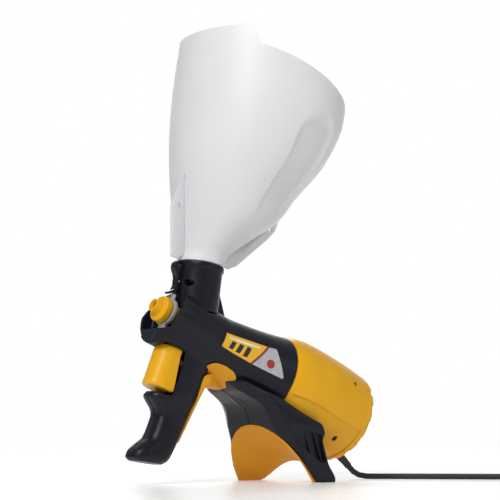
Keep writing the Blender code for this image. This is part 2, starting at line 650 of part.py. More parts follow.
def make_switch():
    """Mains switch in the grip, with its plunger."""
    body = box("switch_body", (-104.0, -9.0, -40.0), (-91.0, 9.0, -25.0), BARREL_FRAME, black_plastic,
               0.6)
    cut(body, cylinder("switch_bore", (-100.0, 0.0, -32.5), "x", 2.9, 16.4, BARREL_FRAME, sides=16))
    cylinder("switch_plunger", (-103.6, 0.0, -32.5), "x", 2.5, 11.2, BARREL_FRAME, nylon, 16)
    lead = [(-89.2, 0.0, -30.0), (-86.4, 0.0, -27.0), (-83.0, 0.0, -23.8), (-77.0, 0.0, -23.2),
            (-66.0, 0.0, -24.0), (-44.0, 0.0, -24.0)]
    wire("switch_lead", smooth_route(lead, 5.0), 1.6, BARREL_FRAME, rubber, 2)


def make_latch():
    """Hopper latch: an S-shaped lever on a cross pin in front of the spout."""
    spine = [(-96.6, 220.6, 0.9), (-99.6, 218.2, 1.5), (-101.5, 214.2, 1.8), (-100.2, 209.6, 1.8),
             (-98.5, 204.6, 1.8), (-98.9, 199.0, 1.9), (-99.7, 194.2, 1.8), (-101.6, 191.0, 1.6),
             (-105.2, 188.8, 1.4), (-110.0, 187.2, 1.2)]
    left, right = [], []
    for i, (x, z, half) in enumerate(spine):
        before = spine[max(i - 1, 0)]
        after = spine[min(i + 1, len(spine) - 1)]
        run = Vector((after[0] - before[0], after[1] - before[1])).normalized()
        left.append((x - run.y * half, z + run.x * half))
        right.append((x + run.y * half, z - run.x * half))
    lever = outline("latch_lever", left + right[::-1], LATCH_HALF, None, black_plastic)
    cut(lever, cylinder("latch_bore", (LATCH_PIVOT[0], 0.0, LATCH_PIVOT[1]), "y", 1.2, 30.0, sides=12))
    set_origin(lever, (LATCH_PIVOT[0], 0.0, LATCH_PIVOT[1]))
    cylinder("latch_pin", (LATCH_PIVOT[0], 0.0, LATCH_PIVOT[1]), "y", 0.9, 2 * LATCH_HALF + 3.0, None,
             steel, 12)


def hopper_section(height, inset=0.0):
    front, rear = mix(HOPPER, height)
    radius = (rear - front) / 2 - inset
    return (front + rear) / 2, radius


def rim_height(angle, x):
    """Height of the mouth's edge: a slanted plane with a raised lobe at the front."""
    plane = RIM_AT[1] - RIM_SLOPE * (x - RIM_AT[0])
    off = abs(abs(angle) - math.pi)
    share = max(0.0, min(1.0, (LOBE_HALF + math.radians(5.0) - off) / math.radians(10.0)))
    share = share * share * (3 - 2 * share)
    return plane + (LOBE_TOP - plane) * share if LOBE_TOP > plane else plane


def flute(angle, height):
    """Depth of the shallow flute on each flank of the hopper."""
    off = abs(abs(math.degrees(angle)) - 79.0)
    side = max(0.0, min(1.0, (19.0 - off) / 6.0))
    top = max(0.0, min(1.0, (372.0 - height - 0.035 * off * off) / 8.0))
    low = max(0.0, min(1.0, (height - 262.0) / 40.0))
    return 5.0 * side * top * low


def hopper_rings(inset, low, count=36, rows=10):
    """Rings from the neck to the mouth's edge."""
    rings = []
    for row in range(rows + 1):
        share = row / rows
        points = []
        for i in range(count):
            angle = -math.pi + 2 * math.pi * i / count
            top = 400.0
            for _ in range(6):
                middle, radius = hopper_section(top, inset)
                top = rim_height(angle, middle + radius * math.cos(angle))
            height = low + (top - low) * share
            middle, radius = hopper_section(height, inset)
            radius -= flute(angle, height)
            points.append((middle + radius * math.cos(angle), radius * math.sin(angle), height))
        rings.append(points)
    return rings


def neck_ring(down, radius, count=36):
    """A ring about the spout axis, down millimetres below the spout's mouth."""
    axis = Vector((math.sin(SPOUT_LEAN), 0.0, math.cos(SPOUT_LEAN)))
    across = Vector((math.cos(SPOUT_LEAN), 0.0, -math.sin(SPOUT_LEAN)))
    centre = Vector(SPOUT_TOP) - axis * down
    return [tuple(centre + radius * (across * math.cos(a) + Vector((0, 1, 0)) * math.sin(a)))
            for a in (-math.pi + 2 * math.pi * i / count for i in range(count))]


def make_hopper():
    """Blow-moulded hopper: round neck, offset cone, slanted mouth, two moulded fins."""
    neck = SPOUT_BORE - 0.5
    outer = [neck_ring(12.0, neck), neck_ring(-0.3, neck), neck_ring(-0.4, 24.6)]
    outer += hopper_rings(0.0, 228.0)
    inner = hopper_rings(HOPPER_WALL, 229.0)[::-1]
    inner += [neck_ring(-1.5, neck - HOPPER_WALL), neck_ring(12.0, neck - HOPPER_WALL)]
    hopper = loft("hopper", outer + inner, None, hopper_plastic, closed_path=True)
    front_fin = outline("front_fin", [(-97.0, 222.8), (-105.2, 224.0), (-105.8, 276.0), (-96.0, 298.0),
                                      (-87.9, 314.0), (-89.5, 225.0)], 1.8)
    cut(front_fin, cylinder("front_fin_hole", (-95.9, 0.0, 277.0), "y", 2.6, 10.0, sides=16))
    rear_fin = outline("rear_fin", [(-42.0, 223.8), (-31.5, 216.2), (-20.0, 220.5), (24.0, 250.6),
                                    (37.0, 261.0), (43.5, 274.0), (46.5, 292.0), (36.5, 287.5),
                                    (17.5, 266.0), (-7.0, 250.0)], 1.9)
    cut(rear_fin, cylinder("rear_fin_hole", (32.6, 0.0, 268.0), "y", 2.6, 10.0, sides=16))
    space = loft("hopper_space", [neck_ring(16.0, neck - HOPPER_WALL)]
                 + [neck_ring(-1.5, neck - HOPPER_WALL)] + hopper_rings(HOPPER_WALL, 229.0))
    cut(front_fin, space)
    cut(rear_fin, copy_of(space, "rear_space"))
    cut(rear_fin, flange_clearance("rear_flange_clear"))
    cut(front_fin, flange_clearance("front_flange_clear"))
    join(hopper, front_fin, rear_fin)


def copy_of(piece, name):
    return add(name, piece.data)


def flange_clearance(name):
    return cylinder(name, (0.0, 0.0, -30.0 + GAP), "z", SPOUT_FLANGE_R + 0.5, 60.0, SPOUT_FRAME,
                    sides=32)


def make_liner():
    """Yellow arch that lines the tunnel between the legs."""
    rings = [tunnel_arch(share, LINER_WALL) + tunnel_arch(share, 0.0)[::-1]
             for share in (0.0, 0.25, 0.5, 0.75, 1.0)]
    loft("stand_liner", rings, None, yellow_plastic)


def make_back_strap():
    """Yellow strip on the back of the grip, widening into a saddle under the barrel."""
    path = [(-55.0, -34.6, 4.0), (-61.0, -36.6, 10.0), (-70.0, -39.0, 14.0), (-77.0, -42.5, 13.0),
            (-80.6, -48.0, 10.5), (-81.8, -57.0, 8.0), (-83.6, -75.0, 7.2), (-86.4, -95.0, 6.6),
            (-88.0, -107.0, 5.5)]
    rings = []
    for i, (x, z, half) in enumerate(path):
        before, after = path[max(i - 1, 0)], path[min(i + 1, len(path) - 1)]
        run = Vector((after[0] - before[0], 0.0, after[1] - before[1])).normalized()
        out = Vector((-run.z, 0.0, run.x))
        section = []
        for depth in (3.0, -7.0):
            for j in range(7):
                across = (2 * j / 6 - 1) * (1 if depth > 0 else -1)
                drop = 0.30 * half * across * across
                point = Vector((x, half * across, z)) + out * (depth - drop)
                section.append(tuple(point))
        rings.append(section)
    strap = loft("back_strap", rings, BARREL_FRAME, yellow_plastic)
    saddle = barrel_solid("saddle_skin", 1.7)
    edge = [(-90.5, -27.0), (-86.0, -22.2), (-75.0, -20.8), (-63.0, -22.6), (-57.0, -25.6),
            (-53.2, -30.0), (-54.0, -40.0), (-88.0, -40.0)]
    boolean(saddle, outline("saddle_edge", edge, 40.0, BARREL_FRAME), "INTERSECT")
    join(strap, saddle)
    column = stand_solid("strap_column")
    column.location.x = -2 * GAP * MM
    cut(strap, barrel_solid("strap_barrel", GAP), grip_solid("strap_grip", GAP), column)
    return strap


def make_labels():
    """Thin label plates on the flanks of the barrel."""
    for side, tag in ((-1, "left"), (1, "right")):
        rings = []
        for x in (-90.0, -82.0, -60.0, -40.0, -30.0, -26.0, -19.0, -12.0):
            low, high = mix(LABEL, x)
            radius, up = mix(BARREL, x)
            section = []
            for reach, order in ((radius + 0.45, 1), (radius + 1.1, -1)):
                heights = [low + (high - low) * k / 5 for k in range(6)][::order]
                for z in heights:
                    z_off = z - up
                    section.append((x, side * math.sqrt(reach ** 2 - z_off ** 2), z))
            rings.append(section)
        loft("label_" + tag, rings, BARREL_FRAME, label_print)


def make_motor():
    """Universal motor with its turbine, brushes, bearings and brackets."""
    shroud = [(38.0, 20.0), (44.0, 17.0), (44.0, 2.0), (40.0, -1.0), (30.0, -3.0), (29.0, -1.6),
              (39.2, 0.4), (42.4, 2.8), (42.4, 16.0), (37.4, 18.4)]
    turned("turbine_shroud", shroud, (0.0, 0.0, 0.0), "x", BARREL_FRAME, grey_plastic, 20)
    wheel = [(41.0, 14.0), (41.0, 4.0), (36.0, 4.0), (12.0, 7.0), (8.0, 4.0), (4.3, 4.0), (4.3, 14.0)]
    turned("impeller", wheel, (0.0, 0.0, 0.0), "x", BARREL_FRAME, nylon, 24)
    shaft = [(0.0, 99.0), (4.0, 99.0), (4.0, -2.0), (0.0, -2.0)]
    turned("motor_shaft", shaft, (0.0, 0.0, 0.0), "x", BARREL_FRAME, steel, 16)
    ring("front_bearing", (23.5, 0.0, 0.0), "x", 10.6, 4.4, 6.0, BARREL_FRAME, steel, 20)
    ring("rear_bearing", (95.0, 0.0, 0.0), "x", 10.6, 4.4, 6.0, BARREL_FRAME, steel, 20)
    ring("front_bracket", (23.5, 0.0, 0.0), "x", 46.6, 11.0, 5.0, BARREL_FRAME, grey_plastic, 20)
    ring("rear_bracket", (95.0, 0.0, 0.0), "x", 33.0, 11.0, 5.0, BARREL_FRAME, grey_plastic, 20)
    ring("armature", (53.0, 0.0, 0.0), "x", 19.0, 4.4, 42.0, BARREL_FRAME, steel, 20)
    ring("commutator", (83.5, 0.0, 0.0), "x", 10.0, 4.4, 9.0, BARREL_FRAME, copper, 20)
    ring("stator", (53.0, 0.0, 0.0), "x", 34.0, 20.0, 44.0, BARREL_FRAME, steel, 20)
    ring("front_winding", (29.2, 0.0, 0.0), "x", 29.0, 21.0, 2.6, BARREL_FRAME, copper, 20)
    ring("rear_winding", (77.2, 0.0, 0.0), "x", 29.0, 21.0, 3.4, BARREL_FRAME, copper, 20)
    ring("motor_mount_ring", (53.0, 0.0, 0.0), "x", 49.4, 34.4, 10.0, BARREL_FRAME, rubber, 24)
    for side, tag in ((-1, "left"), (1, "right")):
        low, high = sorted((side * 10.4, side * 20.0))
        box("brush_" + tag, (80.5, low, -2.5), (86.5, high, 2.5), BARREL_FRAME, rubber)
    ring("filter_foam", (104.5, 0.0, 0.0), "x", 30.0, 12.0, 8.0, BARREL_FRAME, foam, 24)


def make_air_path():
    """Duct from the turbine to the nose."""
    rings = []
    for grow in (0.0, -1.5):
        part = []
        for x, radius, z in ((-3.6, 28.0, 0.0), (-20.0, 20.0, -5.0), (-36.0, 10.0, -11.0),
                             (-46.0, 6.2, -13.5)):
            part.append([(x, (radius + grow) * math.cos(a), z + (radius + grow) * math.sin(a))
                         for a in (2 * math.pi * i / 20 for i in range(20))])
        rings += part if grow == 0.0 else part[::-1]
    loft("air_duct", rings, BARREL_FRAME, black_plastic, closed_path=True)
    ring("air_tube", (-89.5, 0.0, -13.5), "x", 5.6, 4.2, 86.0, BARREL_FRAME, nylon, 16)


def make_screws():
    """Two cover screws, set in the left cover's holes."""
    for z, tag in ((24.9, "upper"), (-36.0, "lower")):
        inner = -34.0 if z < 0 else -40.0
        screw = cylinder("cover_screw_" + tag, (81.5, inner + 1.0, z), "y", 2.2, 6.0, BARREL_FRAME,
                         steel, 12)
        cut(screw, box("slot_" + tag, (79.0, inner - 3.0, z - 0.4), (84.0, inner - 1.2, z + 0.4),
                       BARREL_FRAME))


def make_cord():
    """Strain relief, mains cord, its coil and the plug."""
    start = Vector((CAP_X[1] - 1.0, 0.0, -37.0))
    base = Matrix.Rotation(TILT, 3, "Y") @ start + Vector(BARREL_ORIGIN)
    along = Matrix.Rotation(TILT, 3, "Y") @ Vector((1.0, 0.0, 0.0))
    end = Vector(CORD_ROUTE[0])
    away = (end - Vector(CORD_ROUTE[1])).normalized()
    bend = smooth_route([tuple(base - 6.0 * along), tuple(base + 5.0 * along),
                         tuple(end + 10.0 * away), tuple(end + 0.3 * away)], 3.0)
    count = len(bend)
    radii = [1.0 - 0.24 * max(0.0, i - 2) / (count - 3) for i in range(count)]
    wire("strain_relief", bend, 5.2, None, rubber, 3, radii)
    cord = smooth_route(CORD_ROUTE, 11.0)
    wire("cord", cord, CORD_R, None, rubber, 2)
    cx, cy = COIL_AT
    height = 4 * 2 * CORD_R
    profile = [(COIL_R + 2 * CORD_R, height), (COIL_R + 2 * CORD_R, 0.2), (COIL_R - 2 * CORD_R, 0.2),
               (COIL_R - 2 * CORD_R, height)]
    turned("cord_coil", profile, (cx, cy, 0.0), "z", None, rubber, 32)
    wire("cord_tail", smooth_route(TAIL_ROUTE, 8.0), CORD_R, None, rubber, 2)
    make_plug()


def make_plug():
    """Two-pin plug lying beside the coil."""
    tip = Vector(TAIL_ROUTE[-1])
    run = (tip - Vector(TAIL_ROUTE[-2])).normalized()
    run.z = 0.0
    run.normalize()
    frame = empty("plug_frame", tip, (0.0, 0.0, math.atan2(run.y, run.x)), STAND_FRAME)
    body = turned("plug_body", [(0.0, 36.0), (8.6, 36.0), (9.1, 34.5), (9.1, 17.0), (6.0, 12.0),
                                (4.2, 0.5), (0.0, 0.5)], (0.0, 0.0, 0.0), "x", frame, rubber, 20)
    for y, tag in ((-6.35, "a"), (6.35, "b")):
        box("plug_blade_" + tag, (36.3, y - 0.75, -3.2), (52.5, y + 0.75, 3.2), frame, brass)
    return body


make_housing()
make_motor_cover()
make_rear_cap()
make_inlet_grille()
make_feed()
make_nozzle()
make_needle()
make_trigger()
make_switch()
make_latch()
make_hopper()
make_liner()
make_back_strap()
make_labels()
make_motor()
make_air_path()
make_screws()
make_cord()
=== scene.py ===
"""Looks of an electric texture sprayer with a gravity-feed hopper.

World frame: metres, +Z up, nozzle towards -X, mains cord towards +X, symmetric about Y = 0.
Lengths are written in millimetres and turned into metres where a mesh is made. A point is given in
the stand frame (level with the ground), the barrel frame (x along the barrel from nozzle to motor,
z up from its axis) or the spout frame (z up the feed spout, 0 at its mouth).
"""
import math

import bmesh
import bpy
from mathutils import Matrix, Vector


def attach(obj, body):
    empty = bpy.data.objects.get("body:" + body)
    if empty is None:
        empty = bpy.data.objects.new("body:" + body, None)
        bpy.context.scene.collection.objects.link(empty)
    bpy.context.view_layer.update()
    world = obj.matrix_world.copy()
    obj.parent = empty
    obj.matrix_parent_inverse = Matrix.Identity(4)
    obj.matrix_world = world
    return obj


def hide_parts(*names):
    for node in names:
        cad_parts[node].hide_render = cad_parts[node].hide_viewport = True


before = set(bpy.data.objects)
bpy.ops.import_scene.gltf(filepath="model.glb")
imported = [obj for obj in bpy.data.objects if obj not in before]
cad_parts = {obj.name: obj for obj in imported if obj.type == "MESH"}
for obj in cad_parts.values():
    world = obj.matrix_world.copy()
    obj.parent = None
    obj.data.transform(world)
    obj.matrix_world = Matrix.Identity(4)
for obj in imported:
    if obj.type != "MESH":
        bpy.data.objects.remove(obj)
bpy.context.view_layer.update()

MM = 0.001
STAND_X = 4.59
TILT = math.radians(21.5)
SPOUT_LEAN = math.radians(9.0)
STAND = Matrix.Translation(Vector((STAND_X, 0.0, 0.0)))
BARREL = Matrix.Translation(Vector((21.4 + STAND_X, 0.0, 107.8))) @ Matrix.Rotation(TILT, 4, "Y")
SPOUT = Matrix.Translation(Vector((-69.3 + STAND_X, 0.0, 217.2))) @ Matrix.Rotation(SPOUT_LEAN, 4, "Y")

# Camera: level with the shins of the stand, a long lens from the front left
CAMERA_AT = (-919.5, -1087.4, 39.2)
CAMERA_RIGHT = (0.7627, -0.6467, 0.0)
CAMERA_BACK = (-0.6404, -0.7553, -0.1394)
CAMERA_LENS = 98.87
# The studio's bright backdrop stands in this direction
BACKDROP_TOWARDS = (0.6404, 0.7553, 0.1394)

PARTING_GAP = 0.15   # from the middle plane to each clamshell
NOZZLE_UP = 7.5
CHAMBER_MIDDLE = -111.5
CHAMBER_R = 14.5
CHAMBER_BORE = 11.0
LEDGE_Z = -19.5
LEDGE_STEP = 1.2
# station, radius and height of the barrel's round sections
BARREL_ROWS = [(-151.0, 31.0, 3.5), (-130.0, 31.0, 3.0), (-105.0, 31.0, 2.2), (-82.0, 31.0, 1.4),
               (-60.0, 33.5, 1.0), (-30.0, 38.5, 0.5), (-12.0, 42.3, 0.2), (-0.3, 45.3, 0.0)]
# height, front, rear and half width of the grip's sections
GRIP = [(-22.0, -129.0, -78.0, 17.0), (-40.0, -126.5, -82.5, 16.8), (-57.0, -126.5, -83.3, 16.6),
        (-67.5, -128.0, -84.3, 16.2), (-71.5, -134.0, -84.8, 15.6), (-77.0, -136.5, -85.3, 15.0),
        (-82.0, -130.0, -85.8, 14.4), (-87.0, -123.0, -86.4, 14.0), (-93.0, -120.6, -87.0, 13.8),
        (-106.0, -120.8, -88.6, 14.0), (-114.0, -122.0, -89.4, 14.2), (-122.0, -128.5, -90.2, 14.6),
        (-130.0, -134.0, -91.2, 15.0), (-135.0, -134.0, -93.5, 14.4), (-138.5, -129.0, -98.0, 11.5)]
GRIP_BOTTOM_SLOPE = 0.24
# height, front at mid width, front corner, its half width, rear, its half width
LEGS = [(0.0, 32.0, 34.0, 63.0, 59.5, 64.0), (4.0, 29.6, 32.0, 62.0, 60.0, 63.6),
        (9.0, 26.5, 28.5, 60.8, 59.0, 61.5), (17.0, 21.7, 23.3, 59.0, 55.2, 59.4),
        (30.0, 13.8, 19.0, 55.6, 52.8, 57.0), (41.0, 7.1, 15.3, 52.5, 51.2, 55.0),
        (50.0, 1.6, 11.0, 50.0, 55.5, 53.2), (57.5, -2.4, 6.5, 47.6, 54.0, 51.8),
        (63.5, -4.2, 4.0, 46.3, 42.0, 50.5), (70.0, -6.5, 1.0, 44.8, 28.0, 49.3),
        (78.0, -12.5, -4.5, 42.7, 13.8, 47.5), (86.4, -26.5, -14.5, 39.0, -1.7, 45.5),
        (92.0, -37.0, -26.0, 36.0, -19.0, 43.5), (101.0, -47.0, -38.0, 29.0, -34.0, 33.0)]
TOE_X = 32.0
LEG_LEAN = 0.13      # how far the leg's sunk face comes in for each millimetre up
TUNNEL_HALF = 57.0
TUNNEL_FRONT = (-34.0, 56.0)
TUNNEL_REAR = (28.0, 21.0)
LINER_WALL = 2.2
ARCH_STEPS = 64

COVER = [(0.3, 45.3), (5.0, 47.6), (14.0, 50.0), (28.0, 51.8), (45.0, 52.5), (75.0, 52.2),
         (95.0, 51.0), (104.0, 50.2)]
CAP_X = (104.3, 117.0)
CAP_R = 50.2
CAP_TEETH = 16
CAP_NOTCH = 4.6

SPOUT_R = 24.4
SPOUT_BORE = 21.4
SPOUT_FLANGE_R = 25.4
HOPPER_WALL = 2.0
HOPPER = [(223.4, -93.6, -44.7), (232.0, -89.6, -34.0), (250.0, -89.8, -6.2), (266.0, -90.3, 18.4),
          (290.0, -90.3, 38.5), (333.0, -88.4, 77.4), (377.0, -85.2, 99.5), (405.0, -82.5, 103.5),
          (432.0, -79.3, 102.0), (460.0, -75.5, 98.5)]
RIM_AT = (-46.8, 440.0)
RIM_SLOPE = 0.41
LOBE_TOP = 461.0
LOBE_HALF = math.radians(47.5)
HOPPER_SIDES = 192
HOPPER_ROWS = 70
FLUTE_AT = 79.0      # degrees round from the rear
FLUTE_HALF = 19.0
FLUTE_TOP = 372.0
FLUTE_DEPTH = 5.0

CORD_R = 3.1
COIL_AT = (323.5, -119.4)
COIL_R = 33.0
COIL_LAYERS = 4
COIL_POINTS = 26    # in each turn
CORD_ROUTE = [(138.6, 0.0, 14.8), (144.4, -0.2, 9.6), (151.4, -0.8, 5.7), (160.0, -2.8, 3.7),
              (170.0, -7.5, 3.3), (186.0, -21.0, 3.3), (201.5, -39.8, 3.3), (224.8, -68.0, 3.3),
              (250.7, -99.4, 3.3), (290.0, -147.0, 3.3)]
TAIL_ROUTE = [(353.7, -149.6, 3.3), (360.8, -142.5, 4.0), (367.8, -135.5, 6.4), (374.1, -129.2, 8.7),
              (378.7, -124.6, 9.3), (383.7, -119.6, 9.3)]


# ---------------------------------------------------------------- materials

def new_material(name, colour, roughness, metallic=0.0):
    made = bpy.data.materials.new(name)
    made.use_nodes = True
    shader = made.node_tree.nodes["Principled BSDF"]
    shader.inputs["Base Color"].default_value = (*colour, 1.0)
    shader.inputs["Roughness"].default_value = roughness
    shader.inputs["Metallic"].default_value = metallic
    return made, made.node_tree.nodes, made.node_tree.links, shader


def noise(nodes, links, scale, detail, stretch=None):
    place = nodes.new("ShaderNodeTexCoord")
    texture = nodes.new("ShaderNodeTexNoise")
    texture.inputs["Scale"].default_value = scale
    texture.inputs["Detail"].default_value = detail
    source = place.outputs["Object"]
    if stretch:
        mapping = nodes.new("ShaderNodeMapping")
        mapping.inputs["Scale"].default_value = stretch
        links.new(source, mapping.inputs["Vector"])
        source = mapping.outputs["Vector"]
    links.new(source, texture.inputs["Vector"])
    return texture.outputs["Fac"]


def vary_roughness(nodes, links, shader, fac, low, high):
    remap = nodes.new("ShaderNodeMapRange")
    remap.inputs["To Min"].default_value = low
    remap.inputs["To Max"].default_value = high
    remap.inputs["From Min"].default_value = 0.3
    remap.inputs["From Max"].default_value = 0.7
    links.new(fac, remap.inputs["Value"])
    links.new(remap.outputs["Result"], shader.inputs["Roughness"])


def vary_colour(nodes, links, shader, fac, dark, light):
    ramp = nodes.new("ShaderNodeValToRGB")
    ramp.color_ramp.elements[0].position = 0.3
    ramp.color_ramp.elements[0].color = (*dark, 1.0)
    ramp.color_ramp.elements[1].position = 0.72
    ramp.color_ramp.elements[1].color = (*light, 1.0)
    links.new(fac, ramp.inputs["Fac"])
    links.new(ramp.outputs["Color"], shader.inputs["Base Color"])


def bump(nodes, links, shader, fac, strength, distance):
    node = nodes.new("ShaderNodeBump")
    node.inputs["Strength"].default_value = strength
    node.inputs["Distance"].default_value = distance
    links.new(fac, node.inputs["Height"])
    links.new(node.outputs["Normal"], shader.inputs["Normal"])


def plastic(name, dark, light, low, high, grain=0.12, grain_scale=2600.0, gloss=0.5):
    made, nodes, links, shader = new_material(name, light, high)
    vary_colour(nodes, links, shader, noise(nodes, links, 26.0, 3.0), dark, light)
    vary_roughness(nodes, links, shader, noise(nodes, links, 70.0, 5.0), low, high)
    bump(nodes, links, shader, noise(nodes, links, grain_scale, 2.0), grain, 0.00008)
    shader.inputs["Specular IOR Level"].default_value = gloss
    return made


def metal(name, dark, light, low, high, stretch=(1.0, 1.0, 1.0)):
    made, nodes, links, shader = new_material(name, light, high, 1.0)
    vary_colour(nodes, links, shader, noise(nodes, links, 60.0, 4.0), dark, light)
    vary_roughness(nodes, links, shader, noise(nodes, links, 400.0, 6.0, stretch=stretch), low, high)
    return made


black = plastic("black_shell", (0.0045, 0.0052, 0.0105), (0.0075, 0.0085, 0.0160), 0.30, 0.40, gloss=0.28)
black_fine = plastic("black_smooth", (0.0045, 0.0050, 0.0095), (0.0075, 0.0082, 0.0140), 0.24, 0.34, 0.06,
                     gloss=0.28)
yellow = plastic("yellow_shell", (0.78, 0.385, 0.005), (0.84, 0.430, 0.007), 0.30, 0.40, gloss=0.3)
yellow_soft = plastic("yellow_overmould", (0.70, 0.30, 0.008), (0.76, 0.345, 0.010), 0.42, 0.52, 0.2,
                      gloss=0.3)
grey = plastic("grey_clip", (0.38, 0.38, 0.40), (0.45, 0.45, 0.47), 0.34, 0.44)
natural = plastic("natural_nylon", (0.66, 0.64, 0.58), (0.74, 0.72, 0.66), 0.35, 0.48)
rubber = plastic("cord_sheath", (0.012, 0.012, 0.013), (0.020, 0.020, 0.022), 0.48, 0.62, 0.25, 1500.0)
seal = plastic("seal_rubber", (0.05, 0.05, 0.05), (0.075, 0.075, 0.075), 0.6, 0.75, 0.3)
foam = plastic("open_foam", (0.04, 0.04, 0.045), (0.11, 0.11, 0.12), 0.85, 0.98, 1.0, 700.0)
steel = metal("bright_steel", (0.50, 0.50, 0.51), (0.62, 0.62, 0.63), 0.22, 0.34)
brass = metal("turned_brass", (0.66, 0.46, 0.20), (0.78, 0.57, 0.27), 0.20, 0.34)
copper = metal("wound_copper", (0.58, 0.24, 0.10), (0.76, 0.38, 0.20), 0.28, 0.42, (1.0, 9.0, 9.0))


def hopper_look():
    made, nodes, links, shader = new_material("milky_polyethylene", (0.80, 0.80, 0.82), 0.36)
    vary_colour(nodes, links, shader, noise(nodes, links, 9.0, 3.0), (0.655, 0.65, 0.67),
                (0.70, 0.70, 0.715))
    vary_roughness(nodes, links, shader, noise(nodes, links, 45.0, 5.0), 0.34, 0.46)
    bump(nodes, links, shader, noise(nodes, links, 900.0, 3.0), 0.10, 0.0002)
    shader.inputs["Subsurface Weight"].default_value = 0.35
    shader.inputs["Subsurface Radius"].default_value = (1.0, 0.95, 0.95)
    shader.inputs["Subsurface Scale"].default_value = 0.006
    shader.inputs["IOR"].default_value = 1.45
    return made


def speckle_look():
    made, nodes, links, shader = new_material("speckled_panel", (0.55, 0.55, 0.57), 0.35)
    vary_colour(nodes, links, shader, noise(nodes, links, 1500.0, 2.0), (0.24, 0.24, 0.26),
                (0.66, 0.66, 0.68))
    vary_roughness(nodes, links, shader, noise(nodes, links, 200.0, 3.0), 0.3, 0.42)
    return made


milky = hopper_look()
speckle = speckle_look()
print_yellow = plastic("print_yellow", (0.80, 0.42, 0.010), (0.84, 0.46, 0.014), 0.26, 0.34, 0.05)
print_black = plastic("print_black", (0.012, 0.011, 0.012), (0.018, 0.016, 0.017), 0.28, 0.36, 0.05)
print_red = plastic("print_red", (0.34, 0.02, 0.015), (0.42, 0.03, 0.02), 0.28, 0.36, 0.05)
print_white = plastic("print_white", (0.72, 0.71, 0.70), (0.80, 0.79, 0.78), 0.28, 0.36, 0.05)


# ---------------------------------------------------------------- shape helpers

def ease(value):
    """A smooth step from 0 to 1, for a value that is cut off to that range."""
    share = max(0.0, min(1.0, value))
    return share * share * (3 - 2 * share)


def smooth_mix(table, at):
    """Cubic interpolation in rows that start with a rising station, with no overshoot."""
    at = min(max(at, table[0][0]), table[-1][0])
    k = 0
    while k < len(table) - 2 and at > table[k + 1][0]:
        k += 1
    a, b = table[k], table[k + 1]
    width = b[0] - a[0]
    t = (at - a[0]) / width
    values = []
    for i in range(1, len(a)):
        slope = (b[i] - a[i]) / width
        start = tangent(table, k, i, slope)
        end = tangent(table, k + 1, i, slope)
        values.append((2 * t ** 3 - 3 * t ** 2 + 1) * a[i] + (t ** 3 - 2 * t ** 2 + t) * width * start
                      + (3 * t ** 2 - 2 * t ** 3) * b[i] + (t ** 3 - t ** 2) * width * end)
    return values


def tangent(table, k, i, slope):
    if k == 0 or k == len(table) - 1:
        return slope
    before = (table[k][i] - table[k - 1][i]) / (table[k][0] - table[k - 1][0])
    after = (table[k + 1][i] - table[k][i]) / (table[k + 1][0] - table[k][0])
    if before * after <= 0:
        return 0.0
    return 2 * before * after / (before + after)


def steps(low, high, spacing):
    count = max(1, round(abs(high - low) / spacing))
    return [low + (high - low) * i / count for i in range(count + 1)]


def from_bmesh(name, shape, finish, matrix=None, angle=38.0):
    if matrix:
        bmesh.ops.transform(shape, matrix=matrix, verts=shape.verts)
    bmesh.ops.scale(shape, vec=(MM, MM, MM), verts=shape.verts)
    bmesh.ops.recalc_face_normals(shape, faces=shape.faces)
    if shape.calc_volume(signed=True) < 0.0:
        bmesh.ops.reverse_faces(shape, faces=shape.faces)
    mesh = bpy.data.meshes.new(name)
    shape.to_mesh(mesh)
    shape.free()
    mesh.shade_smooth()
    mesh.set_sharp_from_angle(angle=math.radians(angle))
    piece = bpy.data.objects.new(name, mesh)
    bpy.context.scene.collection.objects.link(piece)
    if finish:
        mesh.materials.append(finish)
    return piece


def loft(name, rings, finish=None, matrix=None, closed_path=False, angle=38.0):
    shape = bmesh.new()
    rows = [[shape.verts.new(Vector(point)) for point in ring] for ring in rings]
    count = len(rows[0])
    pairs = list(zip(rows, rows[1:]))
    if closed_path:
        pairs.append((rows[-1], rows[0]))
    for low, high in pairs:
        for i in range(count):
            j = (i + 1) % count
            shape.faces.new((low[i], low[j], high[j], high[i]))
    if not closed_path:
        shape.faces.new(rows[0][::-1])
        shape.faces.new(rows[-1])
    return from_bmesh(name, shape, finish, matrix, angle)


def lathe(name, profile, finish=None, matrix=None, axis="x", sides=72):
    """A turned shape: a closed outline of (radius, distance) points about an axis."""
    rings = []
    for i in range(sides):
        a = 2 * math.pi * i / sides
        ring = []
        for radius, along in profile:
            if axis == "x":
                ring.append((along, radius * math.cos(a), radius * math.sin(a)))
            else:
                ring.append((radius * math.cos(a), radius * math.sin(a), along))
        rings.append(ring)
    return loft(name, rings, finish, matrix, closed_path=True)


def round_corners(profile, radius, arc=4):
    """Rounds a closed outline's corners with short arcs."""
    points = [Vector(p) for p in profile]
    count = len(points)
    result = []
    for i in range(count):
        before, here, after = points[i - 1], points[i], points[(i + 1) % count]
        a, b = before - here, after - here
        reach = min(radius, 0.45 * a.length, 0.45 * b.length)
        start, end = here + a.normalized() * reach, here + b.normalized() * reach
        for k in range(arc + 1):
            t = k / arc
            result.append(tuple((1 - t) ** 2 * start + 2 * t * (1 - t) * here + t * t * end))
    return result


def cuboid(name, low, high, finish=None, matrix=None, bevel=0.0):
    shape = bmesh.new()
    bmesh.ops.create_cube(shape, size=1.0)
    for vertex in shape.verts:
        vertex.co = Vector([a + (b - a) * (c + 0.5) for a, b, c in zip(low, high, vertex.co)])
    if bevel:
        bmesh.ops.bevel(shape, geom=list(shape.edges), offset=bevel, segments=3, affect="EDGES",
                        profile=0.5)
    return from_bmesh(name, shape, finish, matrix)


